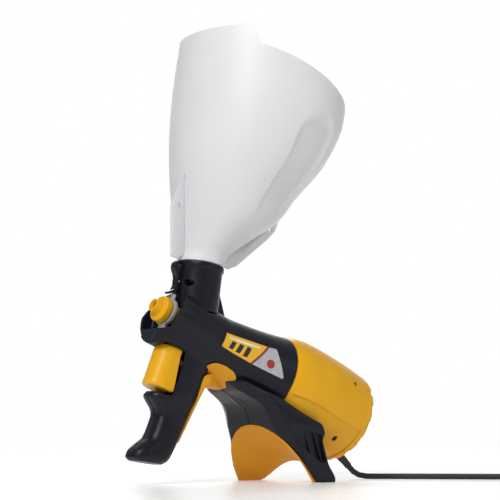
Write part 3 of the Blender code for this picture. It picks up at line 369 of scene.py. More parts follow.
def rod(name, centre, axis, radius, length, finish=None, matrix=None, sides=48):
    spin = {"x": Matrix.Rotation(math.pi / 2, 4, "Y"), "y": Matrix.Rotation(math.pi / 2, 4, "X"),
            "z": Matrix.Identity(4)}[axis]
    place = (matrix or Matrix.Identity(4)) @ Matrix.Translation(Vector(centre)) @ spin
    shape = bmesh.new()
    bmesh.ops.create_cone(shape, cap_ends=True, segments=sides, radius1=radius, radius2=radius,
                          depth=length)
    return from_bmesh(name, shape, finish, place)


def plate(name, points, half_width, finish=None, matrix=None, bevel=0.0):
    """A flat plate in the XZ plane from a closed outline, thick along Y."""
    shape = bmesh.new()
    rows = [[shape.verts.new((x, side * half_width, z)) for x, z in points] for side in (-1, 1)]
    count = len(points)
    for i in range(count):
        j = (i + 1) % count
        shape.faces.new((rows[0][i], rows[0][j], rows[1][j], rows[1][i]))
    front = shape.faces.new(rows[0][::-1])
    back = shape.faces.new(rows[1])
    if bevel:
        rim = list(set(front.edges) | set(back.edges))
        bmesh.ops.bevel(shape, geom=rim, offset=bevel, segments=3, affect="EDGES", profile=0.5)
    return from_bmesh(name, shape, finish, matrix)


def bake(piece):
    """Applies a piece's modifiers."""
    bpy.context.view_layer.update()
    evaluated = piece.evaluated_get(bpy.context.evaluated_depsgraph_get())
    mesh = bpy.data.meshes.new_from_object(evaluated)
    piece.modifiers.clear()
    piece.data = mesh
    return piece


def boolean(piece, operation, *others):
    for other in others:
        step = piece.modifiers.new("step", "BOOLEAN")
        step.operation = operation
        step.solver = "EXACT"
        step.object = other
        bake(piece)
        bpy.data.objects.remove(other, do_unlink=True)
    return piece


def cut(piece, *others):
    return boolean(piece, "DIFFERENCE", *others)


def join(piece, *others):
    return boolean(piece, "UNION", *others)


def soften(piece, voxel, rounds=3, factor=0.5):
    """Blends a piece's corners as moulded plastic has them."""
    remesh = piece.modifiers.new("remesh", "REMESH")
    remesh.mode = "VOXEL"
    remesh.voxel_size = voxel * MM
    remesh.use_smooth_shade = True
    relax = piece.modifiers.new("relax", "SMOOTH")
    relax.factor = factor
    relax.iterations = rounds
    bake(piece)
    piece.data.shade_smooth()
    return piece


def round_edges(piece, width, angle):
    """Bevels the edges sharper than an angle in degrees."""
    edge = piece.modifiers.new("edge", "BEVEL")
    edge.width = width * MM
    edge.segments = 2
    edge.limit_method = "ANGLE"
    edge.angle_limit = math.radians(angle)
    bake(piece)


def refinish(piece, finish, angle=None):
    piece.data.materials.clear()
    piece.data.materials.append(finish)
    piece.data.shade_smooth()
    if angle:
        piece.data.set_sharp_from_angle(angle=math.radians(angle))
    return piece


def mirrored(piece, name):
    """A copy of a piece on the other side of Y = 0."""
    mesh = piece.data.copy()
    mesh.name = name
    mesh.transform(Matrix.Diagonal((1.0, -1.0, 1.0, 1.0)))
    mesh.flip_normals()
    other = bpy.data.objects.new(name, mesh)
    bpy.context.scene.collection.objects.link(other)
    return other


def tube(name, points, radius, finish, roundness=6, radii=None):
    curve = bpy.data.curves.new(name, "CURVE")
    curve.dimensions = "3D"
    curve.bevel_depth = radius * MM
    curve.bevel_resolution = roundness
    curve.use_fill_caps = True
    line = curve.splines.new("POLY")
    line.points.add(len(points) - 1)
    for i, (target, point) in enumerate(zip(line.points, points)):
        target.co = (*(Vector(point) * MM), 1.0)
        target.radius = radii[i] if radii else 1.0
    line.use_smooth = True
    curve.materials.append(finish)
    piece = bpy.data.objects.new(name, curve)
    bpy.context.scene.collection.objects.link(piece)
    return piece


def smooth_route(points, spacing):
    """Points along a smooth curve through the route, spacing millimetres apart."""
    padded = [2 * Vector(points[0]) - Vector(points[1])] + [Vector(p) for p in points]
    padded.append(2 * Vector(points[-1]) - Vector(points[-2]))
    fine = []
    for a, b, c, d in zip(padded, padded[1:], padded[2:], padded[3:]):
        for k in range(20):
            t = k / 20
            fine.append(0.5 * (2 * b + (c - a) * t + (2 * a - 5 * b + 4 * c - d) * t ** 2
                               + (3 * b - a - 3 * c + d) * t ** 3))
    fine.append(padded[-2])
    lengths = [0.0]
    for a, b in zip(fine, fine[1:]):
        lengths.append(lengths[-1] + (b - a).length)
    count = max(2, round(lengths[-1] / spacing))
    route = []
    k = 0
    for i in range(count + 1):
        want = lengths[-1] * i / count
        while k < len(fine) - 2 and lengths[k + 1] < want:
            k += 1
        share = (want - lengths[k]) / max(lengths[k + 1] - lengths[k], 1e-9)
        route.append(fine[k].lerp(fine[k + 1], share))
    return route


# ---------------------------------------------------------------- camera, floor, light

def make_camera():
    data = bpy.data.cameras.new("camera")
    data.lens = CAMERA_LENS
    data.sensor_width = 36.0
    data.clip_end = 20.0
    camera = bpy.data.objects.new("camera", data)
    bpy.context.scene.collection.objects.link(camera)
    right = Vector(CAMERA_RIGHT).normalized()
    back = Vector(CAMERA_BACK).normalized()
    up = back.cross(right).normalized()
    axes = Matrix((right, up, back)).transposed().to_4x4()
    camera.matrix_world = Matrix.Translation(Vector(CAMERA_AT) * MM) @ axes
    bpy.context.scene.camera = camera


def make_stage():
    """A pale floor that glows with painted light, more with distance, and a backdrop that is brightest
    behind the tool.
    """
    shape = bmesh.new()
    bmesh.ops.create_grid(shape, x_segments=2, y_segments=2, size=6000.0)
    made, nodes, links, shader = new_material("pale_floor_painted_glow", (0.93, 0.93, 0.93), 0.30)
    vary_roughness(nodes, links, shader, noise(nodes, links, 3.0, 3.0), 0.26, 0.34)
    # Painted light: the floor's emission glows faintly near the tool and more strongly far from it
    shader.inputs["Emission Color"].default_value = (1.0, 1.0, 1.0, 1.0)
    place = nodes.new("ShaderNodeTexCoord")
    reach = nodes.new("ShaderNodeVectorMath")
    reach.operation = "LENGTH"
    sweep = nodes.new("ShaderNodeMapRange")
    sweep.inputs["From Min"].default_value = 0.5
    sweep.inputs["From Max"].default_value = 2.2
    sweep.inputs["To Min"].default_value = 0.14
    sweep.inputs["To Max"].default_value = 0.62
    links.new(place.outputs["Object"], reach.inputs[0])
    links.new(reach.outputs["Value"], sweep.inputs["Value"])
    links.new(sweep.outputs["Result"], shader.inputs["Emission Strength"])
    floor = from_bmesh("floor", shape, made)
    floor.location.z = -0.0002
    world = bpy.data.worlds.new("studio")
    bpy.context.scene.world = world
    bpy.context.scene.view_settings.view_transform = "Standard"
    world.use_nodes = True
    nodes, links = world.node_tree.nodes, world.node_tree.links
    place = nodes.new("ShaderNodeTexCoord")
    facing = nodes.new("ShaderNodeVectorMath")
    facing.operation = "DOT_PRODUCT"
    facing.inputs[1].default_value = BACKDROP_TOWARDS
    glow = nodes.new("ShaderNodeMapRange")
    glow.inputs["From Min"].default_value = 0.80
    glow.inputs["From Max"].default_value = 0.955
    glow.inputs["To Min"].default_value = 0.32
    glow.inputs["To Max"].default_value = 1.0
    links.new(place.outputs["Generated"], facing.inputs[0])
    links.new(facing.outputs["Value"], glow.inputs["Value"])
    links.new(glow.outputs["Result"], nodes["Background"].inputs["Strength"])
    nodes["Background"].inputs["Color"].default_value = (1.0, 1.0, 1.0, 1.0)


def softbox(name, at, aim, size, power):
    data = bpy.data.lights.new(name, "AREA")
    data.shape = "RECTANGLE"
    data.size, data.size_y = size
    data.energy = power
    lamp = bpy.data.objects.new(name, data)
    bpy.context.scene.collection.objects.link(lamp)
    lamp.location = at
    lamp.rotation_euler = (Vector(at) - Vector(aim)).to_track_quat("Z", "Y").to_euler()


def make_lights():
    middle = (0.0, 0.0, 0.2)
    softbox("key", (-1.3, -0.9, 1.5), middle, (0.9, 0.9), 24.0)
    softbox("fill", (0.9, -1.6, 0.9), middle, (1.2, 0.8), 2.0)
    softbox("rim", (0.9, 1.3, 1.3), middle, (0.9, 0.9), 10.0)


# ---------------------------------------------------------------- cord

def coil_points():
    """The wound part, from the cord's end to the tail's start: layers of two turns each."""
    cx, cy = COIL_AT
    start = math.atan2(CORD_ROUTE[-1][1] - cy, CORD_ROUTE[-1][0] - cx)
    end = math.atan2(TAIL_ROUTE[0][1] - cy, TAIL_ROUTE[0][0] - cx)
    turns = 2 * COIL_LAYERS
    sweep = (end - start) % (2 * math.pi) + 2 * math.pi * (turns - 1)
    count = COIL_POINTS * turns
    points = []
    for i in range(count + 1):
        along = sweep * i / count / (2 * math.pi)
        radius, height = coil_place(along, sweep / (2 * math.pi))
        angle = start + 2 * math.pi * along
        points.append(Vector((cx + radius * math.cos(angle), cy + radius * math.sin(angle), height)))
    return points


def coil_place(along, total):
    """Radius and height after a number of turns, easing from one lane to the next."""
    lanes = [(1, 0), (-1, 0), (-1, 1), (1, 1), (1, 2), (-1, 2), (-1, 3), (1, 3)]
    enter = COIL_R + 3 * CORD_R + 0.4
    k = min(int(along), len(lanes) - 1)
    moved = ease((along - k) / 0.16)

    def spot(lane):
        return COIL_R + lane[0] * CORD_R, CORD_R + 0.3 + 2 * CORD_R * lane[1]

    now = spot(lanes[k])
    before = spot(lanes[k - 1]) if k else (enter, 3.3)
    radius = before[0] + (now[0] - before[0]) * moved
    height = before[1] + (now[1] - before[1]) * moved
    leave = ease((along - (total - 0.42)) / 0.42)
    return radius + (enter - radius) * leave, height + (3.3 - height) * leave


def make_cord():
    route = smooth_route(CORD_ROUTE, 9.0)
    tail = smooth_route(TAIL_ROUTE, 8.0)
    points = [STAND @ p for p in route[:-1] + coil_points() + tail[1:]]
    cord = tube("mains_cord", points, CORD_R, rubber, 6)
    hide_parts("cord", "cord_coil", "cord_tail")
    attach(cord, "gun")
    relief = make_strain_relief()
    tie = make_tie()


def make_strain_relief():
    """Tapered rubber sleeve with ribs where the cord leaves the cap."""
    base = (BARREL @ Vector((CAP_X[1] - 1.0, 0.0, -37.0)))
    along = (BARREL.to_3x3() @ Vector((1.0, 0.0, 0.0)))
    end = STAND @ Vector(CORD_ROUTE[0])
    away = (Vector(CORD_ROUTE[0]) - Vector(CORD_ROUTE[1])).normalized()
    line = smooth_route([base - 6.0 * along, base + 5.0 * along, end + 10.0 * away, end + 0.3 * away],
                        0.6)
    count = len(line)
    radii = []
    for i in range(count):
        share = i / (count - 1)
        rib = 0.05 if 0.3 < share < 0.94 and int(share * 27) % 2 else 0.0
        radii.append(1.0 - 0.26 * share - rib)
    sleeve = tube("strain_sleeve", line, 5.2, rubber, 8, radii)
    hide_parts("strain_relief")
    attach(sleeve, "gun")
    return sleeve


def make_tie():
    """A wire tie around one side of the coil."""
    cx, cy = COIL_AT[0] + COIL_R, COIL_AT[1]
    half = 2 * CORD_R
    low, high = 0.2, 0.6 + 8 * CORD_R
    path = round_corners([(cx - half - 0.5, low), (cx + half + 0.5, low), (cx + half + 0.5, high),
                          (cx - half - 0.5, high)], 2.4, 5)
    rings = []
    for shift in (-2.2, 2.2):
        rings.append([(x, cy + shift, z) for x, z in path])
    inner = []
    middle = Vector((cx, (low + high) / 2))
    for x, z in path:
        d = (middle - Vector((x, z))).normalized()
        inner.append((x + 0.7 * d.x, z + 0.7 * d.y))
    back = [[(x, cy + shift, z) for x, z in inner] for shift in (2.2, -2.2)]
    tie = loft("coil_tie", rings + back, black_fine, STAND, closed_path=True)
    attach(tie, "gun")
    return tie


# ---------------------------------------------------------------- black housing

def other_half():
    """Everything past the parting plane, on the +Y side."""
    return cuboid("other_half", (-300.0, -PARTING_GAP, -100.0), (300.0, 150.0, 500.0))


def barrel_ring(x, radius, up, grow=0.0):
    radius += grow
    dip = math.asin(max(-1.0, min(1.0, (LEDGE_Z - up) / radius)))
    points = []
    upper, lower = 72, 40
    for i in range(upper):
        angle = dip + (math.pi - 2 * dip) * i / (upper - 1)
        points.append((x, radius * math.cos(angle), up + radius * math.sin(angle)))
    for i in range(lower):
        angle = math.pi - dip + (math.pi + 2 * dip) * i / (lower - 1)
        reach = radius + LEDGE_STEP
        points.append((x, reach * math.cos(angle), up + reach * math.sin(angle)))
    return points


def barrel_solid(name, grow=0.0):
    rows = [(x, *smooth_mix(BARREL_ROWS, x)) for x in steps(-151.0, -0.3, 3.0)]
    return loft(name, [barrel_ring(x, radius, up, grow) for x, radius, up in rows], None, BARREL)


def grip_ring(z, front, rear, half, grow=0.0, points=56):
    centre = (front + rear) / 2
    depth = (rear - front) / 2 + grow
    half += grow
    tip = GRIP_BOTTOM_SLOPE * max(0.0, min(1.0, (-110.0 - z) / 20.0))
    section = []
    for i in range(points):
        angle = 2 * math.pi * (i + 0.5) / points
        c, s = math.cos(angle), math.sin(angle)
        x = depth * math.copysign(abs(c) ** 0.72, c)
        y = half * math.copysign(abs(s) ** 0.72, s)
        section.append((centre + x, y, z + tip * x))
    return section


def grip_solid(name, grow=0.0):
    table = sorted(GRIP)
    rings = [grip_ring(z, *smooth_mix(table, z), grow=grow) for z in steps(-138.5, -22.0, 1.6)]
    return loft(name, rings, None, BARREL)


def legs_solid(name, shift=0.0):
    rings = []
    for z in steps(0.0, 101.0, 2.5):
        middle, corner, half_front, rear, half_rear = smooth_mix(LEGS, z)
        inner = max(half_front - 12.0, 4.0)
        near = [(middle + shift, inner, z), (corner + shift, half_front, z), (rear - 2.0, half_rear, z),
                (rear, half_rear - 2.0, z)]
        rings.append(near + [(x, -y, height) for x, y, height in near[::-1]])
    return loft(name, rings, None, STAND)


def tunnel_arch(share, grow):
    toe_x = TOE_X + TUNNEL_REAR[0] * share
    crown_x = TOE_X + TUNNEL_FRONT[0] + (TUNNEL_REAR[0] - TUNNEL_FRONT[0]) * share
    crown_z = TUNNEL_FRONT[1] + (TUNNEL_REAR[1] - TUNNEL_FRONT[1]) * share + grow
    half = TUNNEL_HALF - 1.5 * max(0.0, share) + grow
    bell = 1.0 + 2.2 * max(0.0, min(1.0, share))
    section = []
    for i in range(ARCH_STEPS + 1):
        angle = math.pi * i / ARCH_STEPS
        lift = math.sin(angle) ** bell if 0 < i < ARCH_STEPS else 0.0
        section.append((toe_x + (crown_x - toe_x) * lift, -half * math.cos(angle), crown_z * lift))
    return section


def tunnel_solid(name, grow):
    rings = []
    for share in (-0.35, -0.15, 0.0, 0.12, 0.25, 0.4, 0.5, 0.62, 0.75, 0.87, 1.0, 1.15, 1.3):
        section = tunnel_arch(share, grow)
        below = [(x, y, -20.0) for x, y, _ in (section[-1], section[0])]
        rings.append(section + below)
    return loft(name, rings, None, STAND)


def round_solid(name, rows):
    """A closed round solid in the barrel frame, from rows of station, radius and height."""
    rings = [[(x, radius * math.cos(a), up + radius * math.sin(a))
              for a in (2 * math.pi * i / 96 for i in range(96))] for x, radius, up in rows]
    return loft(name, rings, None, BARREL)


def cover_envelope(name, grow):
    rows = [(-0.15, COVER[0][1] + grow, 0.0)]
    rows += [(x, smooth_mix(COVER, x)[0] + grow, 0.0) for x in steps(COVER[0][0], COVER[-1][0], 3.0)]
    rows.append((124.0, CAP_R + grow, 0.0))
    return round_solid(name, rows)


def wing_recess():
    """The sunk face on the outside of a leg, with the ribs left standing in it."""
    edge = round_corners([(-3.0, 52.0), (2.0, 56.0), (25.0, 53.2), (49.0, 47.5), (47.2, 40.0),
                          (48.6, 28.0), (50.0, 21.0), (45.0, 18.6), (18.2, 37.0)], 2.5)
    sunk = plate("sunk_face", edge, 4.0, None, STAND @ Matrix.Translation(Vector((0, -56.4, 0))))
    for vertex in sunk.data.vertices:
        vertex.co.y += LEG_LEAN * (vertex.co.z - 40.0 * MM)
    for top, foot in (((6.0, 60.0), (8.0, 38.0)), ((15.6, 57.0), (18.4, 34.0)),
                      ((26.4, 56.0), (31.6, 26.0)), ((37.6, 54.0), (44.6, 18.0))):
        line = (Vector(foot) - Vector(top)).normalized()
        side = Vector((line.y, -line.x)) * 0.65
        strip = [tuple(Vector(top) + side), tuple(Vector(top) - side), tuple(Vector(foot) - side),
                 tuple(Vector(foot) + side)]
        cut(sunk, plate("rib", strip, 20.0, None, STAND @ Matrix.Translation(Vector((0, -56.0, 0)))))
    return sunk


def make_housing():
    """One clamshell of the barrel, grip and legs, and its mirror image."""
    body = barrel_solid("shell_left")
    join(body, grip_solid("grip_outer"))
    legs = legs_solid("legs_outer")
    cut(legs, cover_envelope("motor_space", 0.5))
    join(body, legs)
    cut(body, tunnel_solid("tunnel_space", LINER_WALL + 0.4))
    core = [(-133.5, 28.5, 3.0), (-82.0, 28.5, 1.4), (-60.0, 31.0, 1.0), (-30.0, 36.0, 0.5),
            (-12.0, 39.8, 0.2), (4.0, 42.8, 0.0)]
    cut(body, round_solid("barrel_core", core))
    table = sorted(GRIP)
    hollow = []
    for z in steps(-131.0, -18.0, 4.0):
        _, rear, half = smooth_mix(table, z)
        front = max(smooth_mix(table, z + shift)[0] for shift in (-8.0, -4.0, 0.0, 4.0, 8.0))
        hollow.append(grip_ring(z, front, rear, half, grow=-2.4, points=32))
    cut(body, loft("grip_core", hollow, None, BARREL))
    recess = rod("nose_recess", (-146.0, 0.0, 3.5), "x", 28.2, 16.0, None, BARREL, 96)
    cut(recess, cuboid("lip", (-160.0, -40.0, -40.0), (-130.0, 40.0, -12.3), None, BARREL))
    brow = plate("brow", [(-175.0, 0.0), (-151.3, 0.0), (-136.9, 38.0), (-175.0, 38.0)], 50.0, None,
                 BARREL)
    cut(body, recess, brow)
    cut(body, rod("chamber_port", (-136.0, 0.0, NOZZLE_UP), "x", CHAMBER_R + 0.4, 12.0, None, BARREL))
    cut(body, rod("spout_port", (0.0, 0.0, -28.0), "z", SPOUT_R + 0.5, 57.0, None, SPOUT, 96))
    cut(body, cuboid("trigger_slot", (-144.0, -14.5, -72.0), (-106.0, 14.5, -20.0), None, BARREL))
    cut(body, other_half())
    soften(body, 0.8, 3)
    cut(body, wing_recess())
    refinish(body, black, 46.0)
    other = mirrored(body, "shell_right")
    for piece, node in ((body, "housing_left"), (other, "housing_right")):
        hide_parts(node)
        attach(piece, "gun")


# ---------------------------------------------------------------- motor cover and cap

def cover_radius(x, angle):
    """Outer radius with a step and a thin ridge above the skirt; the angle is from +Y, up positive."""
    radius = smooth_mix(COVER, x)[0]
    height = radius * math.sin(angle)
    edge = -19.0 + 1.6 * math.exp(-((x - 34.0) / 20.0) ** 2)
    share = ease((edge - height) / 1.6 + 0.5)
    fade = max(0.0, min(1.0, (x - 0.5) / 6.0))
    return radius - 1.1 * fade * share + 0.55 * fade * math.exp(-((height - edge - 0.6) / 1.1) ** 2)


def make_motor_cover():
    sides = 240
    angles = [2 * math.pi * i / sides for i in range(sides)]
    outer, inner = [], []
    for x in steps(0.3, 104.0, 1.7):
        outer.append([(x, cover_radius(x, a) * math.cos(a), cover_radius(x, a) * math.sin(a))
                      for a in angles])
    for x in (104.0, 75.0, 45.0, 14.0, 0.3):
        radius = smooth_mix(COVER, x)[0] - 2.6
        inner.append([(x, radius * math.cos(a), radius * math.sin(a)) for a in angles])
    body = loft("cover_left", outer + inner, None, BARREL, closed_path=True)
    for z, depth in ((24.9, 44.0), (-36.0, 36.4)):
        cut(body, rod("screw_hole", (81.5, -depth, z), "y", 2.7, 24.0, None, BARREL, 32))
    cut(body, cuboid("top_slot", (14.6, -22.2, 40.0), (20.2, -18.4, 60.0), None, BARREL, 0.6))
    cut(body, other_half())
    refinish(body, yellow, 32.0)
    round_edges(body, 0.4, 55.0)
    other = mirrored(body, "cover_right")
    for piece, node in ((body, "motor_cover_left"), (other, "motor_cover_right")):
        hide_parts(node)
        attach(piece, "gun")


def make_rear_cap():
    front, back = CAP_X
    outline = round_corners([(15.0, back), (38.0, back), (44.5, back - 1.5), (48.8, back - 4.5),
                             (CAP_R, back - 8.0), (CAP_R, front), (CAP_R - 2.4, front),
                             (CAP_R - 2.4, back - 9.0), (43.0, back - 4.0), (37.0, back - 2.4),
                             (15.0, back - 2.4)], 0.9, 3)
    sides = CAP_TEETH * 16
    rings = []
    for i in range(sides):
        a = 2 * math.pi * i / sides
        depth = notch_depth(math.degrees(a) % (360.0 / CAP_TEETH))
        ring = []
        for radius, along in outline:
            if along > back - 8.4 and radius > 45.0:
                radius = max(45.0, radius - depth)
            ring.append((along, radius * math.cos(a), radius * math.sin(a)))
        rings.append(ring)
    cap = loft("end_cap", rings, yellow, BARREL, closed_path=True, angle=32.0)
    cut(cap, rod("cord_hole", (back, 0.0, -37.0), "x", 5.6, 12.0, None, BARREL))
    refinish(cap, yellow, 32.0)
    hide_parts("rear_cap")
    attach(cap, "gun")


def notch_depth(turn):
    """How deep the cap's edge is cut at an angle, in degrees, within one tooth's share."""
    off = abs(turn - 180.0 / CAP_TEETH)
    return CAP_NOTCH * ease((4.9 - off) / 1.5)


# ---------------------------------------------------------------- spout, nozzle, latch

def make_spout():
    outline = [(SPOUT_FLANGE_R, 0.0), (SPOUT_FLANGE_R, -4.6), (SPOUT_R - 0.3, -5.6), (SPOUT_R, -48.0),
               (12.0, -56.0), (9.0, -56.0), (SPOUT_BORE - 0.6, -46.5), (SPOUT_BORE, 0.0)]
    spout = lathe("spout_tube", round_corners(outline, 0.9, 4), None, SPOUT, "z", 120)
    join(spout, rod("chamber_outer", (CHAMBER_MIDDLE, 0.0, NOZZLE_UP), "x", CHAMBER_R, 51.0, None,
                    BARREL, 72))
    gusset = plate("gusset", [(22.5, -14.0), (25.2, -14.0), (43.5, -52.0), (22.5, -52.0)], 1.5, None,
                   SPOUT, 0.5)
    cut(gusset, barrel_solid("gusset_clearance", 0.4))
    join(spout, gusset)
    cut(spout, rod("chamber_bore", (CHAMBER_MIDDLE, 0.0, NOZZLE_UP), "x", CHAMBER_BORE, 55.0, None,
                   BARREL, 72))
    cut(spout, rod("spout_drop", (0.0, 0.0, -52.0), "z", 9.0, 26.0, None, SPOUT))
    cut(spout, cuboid("bayonet_slot", (-40.0, -17.4, -26.2), (0.0, -8.0, -19.8), None, SPOUT, 2.4))
    refinish(spout, black_fine, 34.0)
    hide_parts("feed_spout")
    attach(spout, "gun")


def make_nozzle():
    outline = [(8.2, -128.0), (9.8, -128.0), (9.8, -147.2), (12.8, -147.2), (13.4, -148.6),
               (13.4, -154.0), (12.6, -155.2), (7.2, -155.4), (6.8, -162.0), (6.2, -162.8),
               (4.8, -162.8), (3.6, -157.0), (3.4, -151.0), (8.2, -149.0)]
    place = BARREL @ Matrix.Translation(Vector((0.0, 0.0, NOZZLE_UP)))
    cap = lathe("spray_cap", round_corners(outline, 0.55, 3), yellow, place, sides=96)
    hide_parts("nozzle_cap")
    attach(cap, "nozzle")
    ring = lathe("clip_ring", round_corners([(10.3, -146.2), (14.6, -146.2), (14.6, -142.6),
                                             (10.3, -142.6)], 0.4, 3), None, place, sides=96)
    for low, high in ((12.5, 19.2), (-18.2, -12.5)):
        join(ring, cuboid("wing", (-146.1, -5.0, low), (-142.7, 5.0, high), None, place, 0.9))
    refinish(ring, grey, 34.0)
    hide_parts("lock_ring")
    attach(ring, "lock_ring")


def make_latch():
    spine = [(-96.6, 220.6, 0.9), (-99.6, 218.2, 1.5), (-101.5, 214.2, 1.8), (-100.2, 209.6, 1.8),
             (-98.5, 204.6, 1.8), (-98.9, 199.0, 1.9), (-99.7, 194.2, 1.8), (-101.6, 191.0, 1.6),
             (-105.2, 188.8, 1.4), (-110.0, 187.2, 1.2)]
    line = smooth_route([(x, 0.0, z) for x, z, _ in spine], 1.2)
    count = len(line) - 1
    left, right = [], []
    for i, point in enumerate(line):
        at = i / count * (len(spine) - 1)
        k = min(int(at), len(spine) - 2)
        half = spine[k][2] + (spine[k + 1][2] - spine[k][2]) * (at - k) - 0.05
        run = line[min(i + 1, count)] - line[max(i - 1, 0)]
        run.normalize()
        left.append((point.x - run.z * half, point.z + run.x * half))
        right.append((point.x + run.z * half, point.z - run.x * half))
    lever = plate("latch_arm", left + right[::-1], 3.8, black_fine, STAND, 0.5)
    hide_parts("latch_lever")
    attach(lever, "latch")


# ---------------------------------------------------------------- hopper

def hopper_section(height, inset=0.0):
    front, rear = smooth_mix(HOPPER, height)
    return (front + rear) / 2, (rear - front) / 2 - inset


def rim_height(angle, x):
    level = RIM_AT[1] - RIM_SLOPE * (x - RIM_AT[0])
    off = abs(abs(angle) - math.pi)
    share = ease((LOBE_HALF + math.radians(3.0) - off) / math.radians(6.0))
    return level + (LOBE_TOP - level) * share if LOBE_TOP > level else level


def flute(angle, height):
    """Depth of the two rounded hollows in the hopper's rear flanks."""
    off = abs(abs(math.degrees(angle)) - FLUTE_AT)
    side = ease((FLUTE_HALF - off) / 3.6)
    top = ease((FLUTE_TOP - height - 0.05 * off * off) / 5.0)
    low = max(0.0, min(1.0, (height - 258.0) / 45.0))
    return FLUTE_DEPTH * side * top * low


def hopper_rings(inset, low):
    rings = []
    for row in range(HOPPER_ROWS + 1):
        share = row / HOPPER_ROWS
        points = []
        for i in range(HOPPER_SIDES):
            angle = -math.pi + 2 * math.pi * i / HOPPER_SIDES
            top = 400.0
            for _ in range(6):
                middle, radius = hopper_section(top, inset)
                top = rim_height(angle, middle + radius * math.cos(angle))
            height = low + (top - low) * share
            middle, radius = hopper_section(height, inset)
            radius -= flute(angle, height)
            points.append((middle + radius * math.cos(angle), radius * math.sin(angle), height))
        rings.append(points)
    return rings


def neck_ring(down, radius):
    place = STAND.inverted() @ SPOUT
    return [tuple(place @ Vector((radius * math.cos(a), radius * math.sin(a), -down)))
            for a in (-math.pi + 2 * math.pi * i / HOPPER_SIDES for i in range(HOPPER_SIDES))]


def make_hopper():
    neck = SPOUT_BORE - 0.5
    outer = [neck_ring(12.0, neck), neck_ring(6.0, neck), neck_ring(-0.3, neck),
             neck_ring(-0.4, 23.6), neck_ring(-1.0, 24.5)] + hopper_rings(0.0, 227.4)
    inner = hopper_rings(HOPPER_WALL, 228.4)[::-1]
    inner += [neck_ring(-1.5, neck - HOPPER_WALL), neck_ring(12.0, neck - HOPPER_WALL)]
    body = loft("hopper_shell", outer + inner, milky, STAND, closed_path=True)
    front = round_corners([(-97.0, 223.0), (-105.2, 224.0), (-105.8, 276.0), (-96.0, 298.0),
                           (-88.6, 313.0), (-88.7, 236.0), (-89.4, 229.0)], 1.6)
    rear = round_corners([(-41.5, 223.5), (-33.0, 216.8), (-22.0, 221.0), (20.0, 252.5), (31.0, 262.5),
                          (34.5, 270.0), (36.2, 281.0), (36.4, 286.5), (17.4, 266.5), (-8.0, 250.2),
                          (-33.0, 233.4)], 1.6)
    for name, edge, hole in (("front_fin", front, (-96.5, 277.0)), ("rear_fin", rear, (24.8, 264.5))):
        fin = plate(name, edge, 1.8, None, STAND, 0.6)
        cut(fin, rod("fin_hole", (hole[0], 0.0, hole[1]), "y", 2.7, 10.0, None, STAND, 32))
        cut(fin, rod("flange_space", (0.0, 0.0, -29.7), "z", SPOUT_FLANGE_R + 0.5, 60.0, None, SPOUT))
        refinish(fin, milky, 40.0)
        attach(fin, "hopper")
    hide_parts("hopper")
    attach(body, "hopper")


# ---------------------------------------------------------------- yellow trims

def make_liner():
    shares = steps(0.0, 1.0, 0.05)
    outer = [tunnel_arch(share, LINER_WALL) for share in shares]
    inner = [tunnel_arch(share, 0.0) for share in shares]
    rings = [[arch[i] for arch in outer] + [arch[i] for arch in inner[::-1]]
             for i in range(ARCH_STEPS + 1)]
    liner = loft("leg_liner", rings, yellow_soft, STAND, angle=30.0)
    round_edges(liner, 0.6, 50.0)
    refinish(liner, yellow_soft, 30.0)
    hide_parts("stand_liner")
    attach(liner, "gun")


def make_back_strap():
    path = [(-55.0, -34.6, 4.0), (-61.0, -36.6, 10.0), (-70.0, -39.0, 14.0), (-77.0, -42.5, 13.0),
            (-80.6, -48.0, 10.5), (-81.8, -57.0, 8.0), (-83.6, -75.0, 7.2), (-86.4, -95.0, 6.6),
            (-88.0, -107.0, 5.5)]
    line = smooth_route([(x, 0.0, z) for x, z, _ in path], 2.0)
    count = len(line) - 1
    rings = []
    for i, point in enumerate(line):
        at = i / count * (len(path) - 1)
        k = min(int(at), len(path) - 2)
        half = path[k][2] + (path[k + 1][2] - path[k][2]) * (at - k)
        run = line[min(i + 1, count)] - line[max(i - 1, 0)]
        run.normalize()
        out = Vector((-run.z, 0.0, run.x))
        section = []
        for depth in (3.0, -7.0):
            for j in range(17):
                across = (2 * j / 16 - 1) * (1 if depth > 0 else -1)
                drop = 0.30 * half * across * across
                section.append(tuple(Vector((point.x, half * across, point.z)) + out * (depth - drop)))
        rings.append(section)
    strap = loft("grip_strap", rings, None, BARREL)
    saddle = barrel_solid("saddle_skin", 1.7)
    edge = round_corners([(-90.5, -27.0), (-86.0, -22.2), (-75.0, -20.8), (-63.0, -22.6),
                          (-57.0, -25.6), (-53.2, -30.0), (-54.0, -40.0), (-88.0, -40.0)], 4.0)
    boolean(saddle, "INTERSECT", plate("saddle_edge", edge, 40.0, None, BARREL))
    join(strap, saddle)
    cut(strap, barrel_solid("strap_barrel", 0.3), grip_solid("strap_grip", 0.3),
        legs_solid("strap_column", -0.6))
    soften(strap, 0.55, 3)
    refinish(strap, yellow_soft)
    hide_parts("back_strap")
    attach(strap, "gun")


def trigger_ring(z, rear, radius, front=-143.0, points=40):
    centre = front + radius
    arc = [(centre + radius * math.cos(a), radius * math.sin(a), z)
           for a in (math.pi / 2 + math.pi * i / points for i in range(points + 1))]
    return [(rear, radius, z)] + arc + [(rear, -radius, z)]


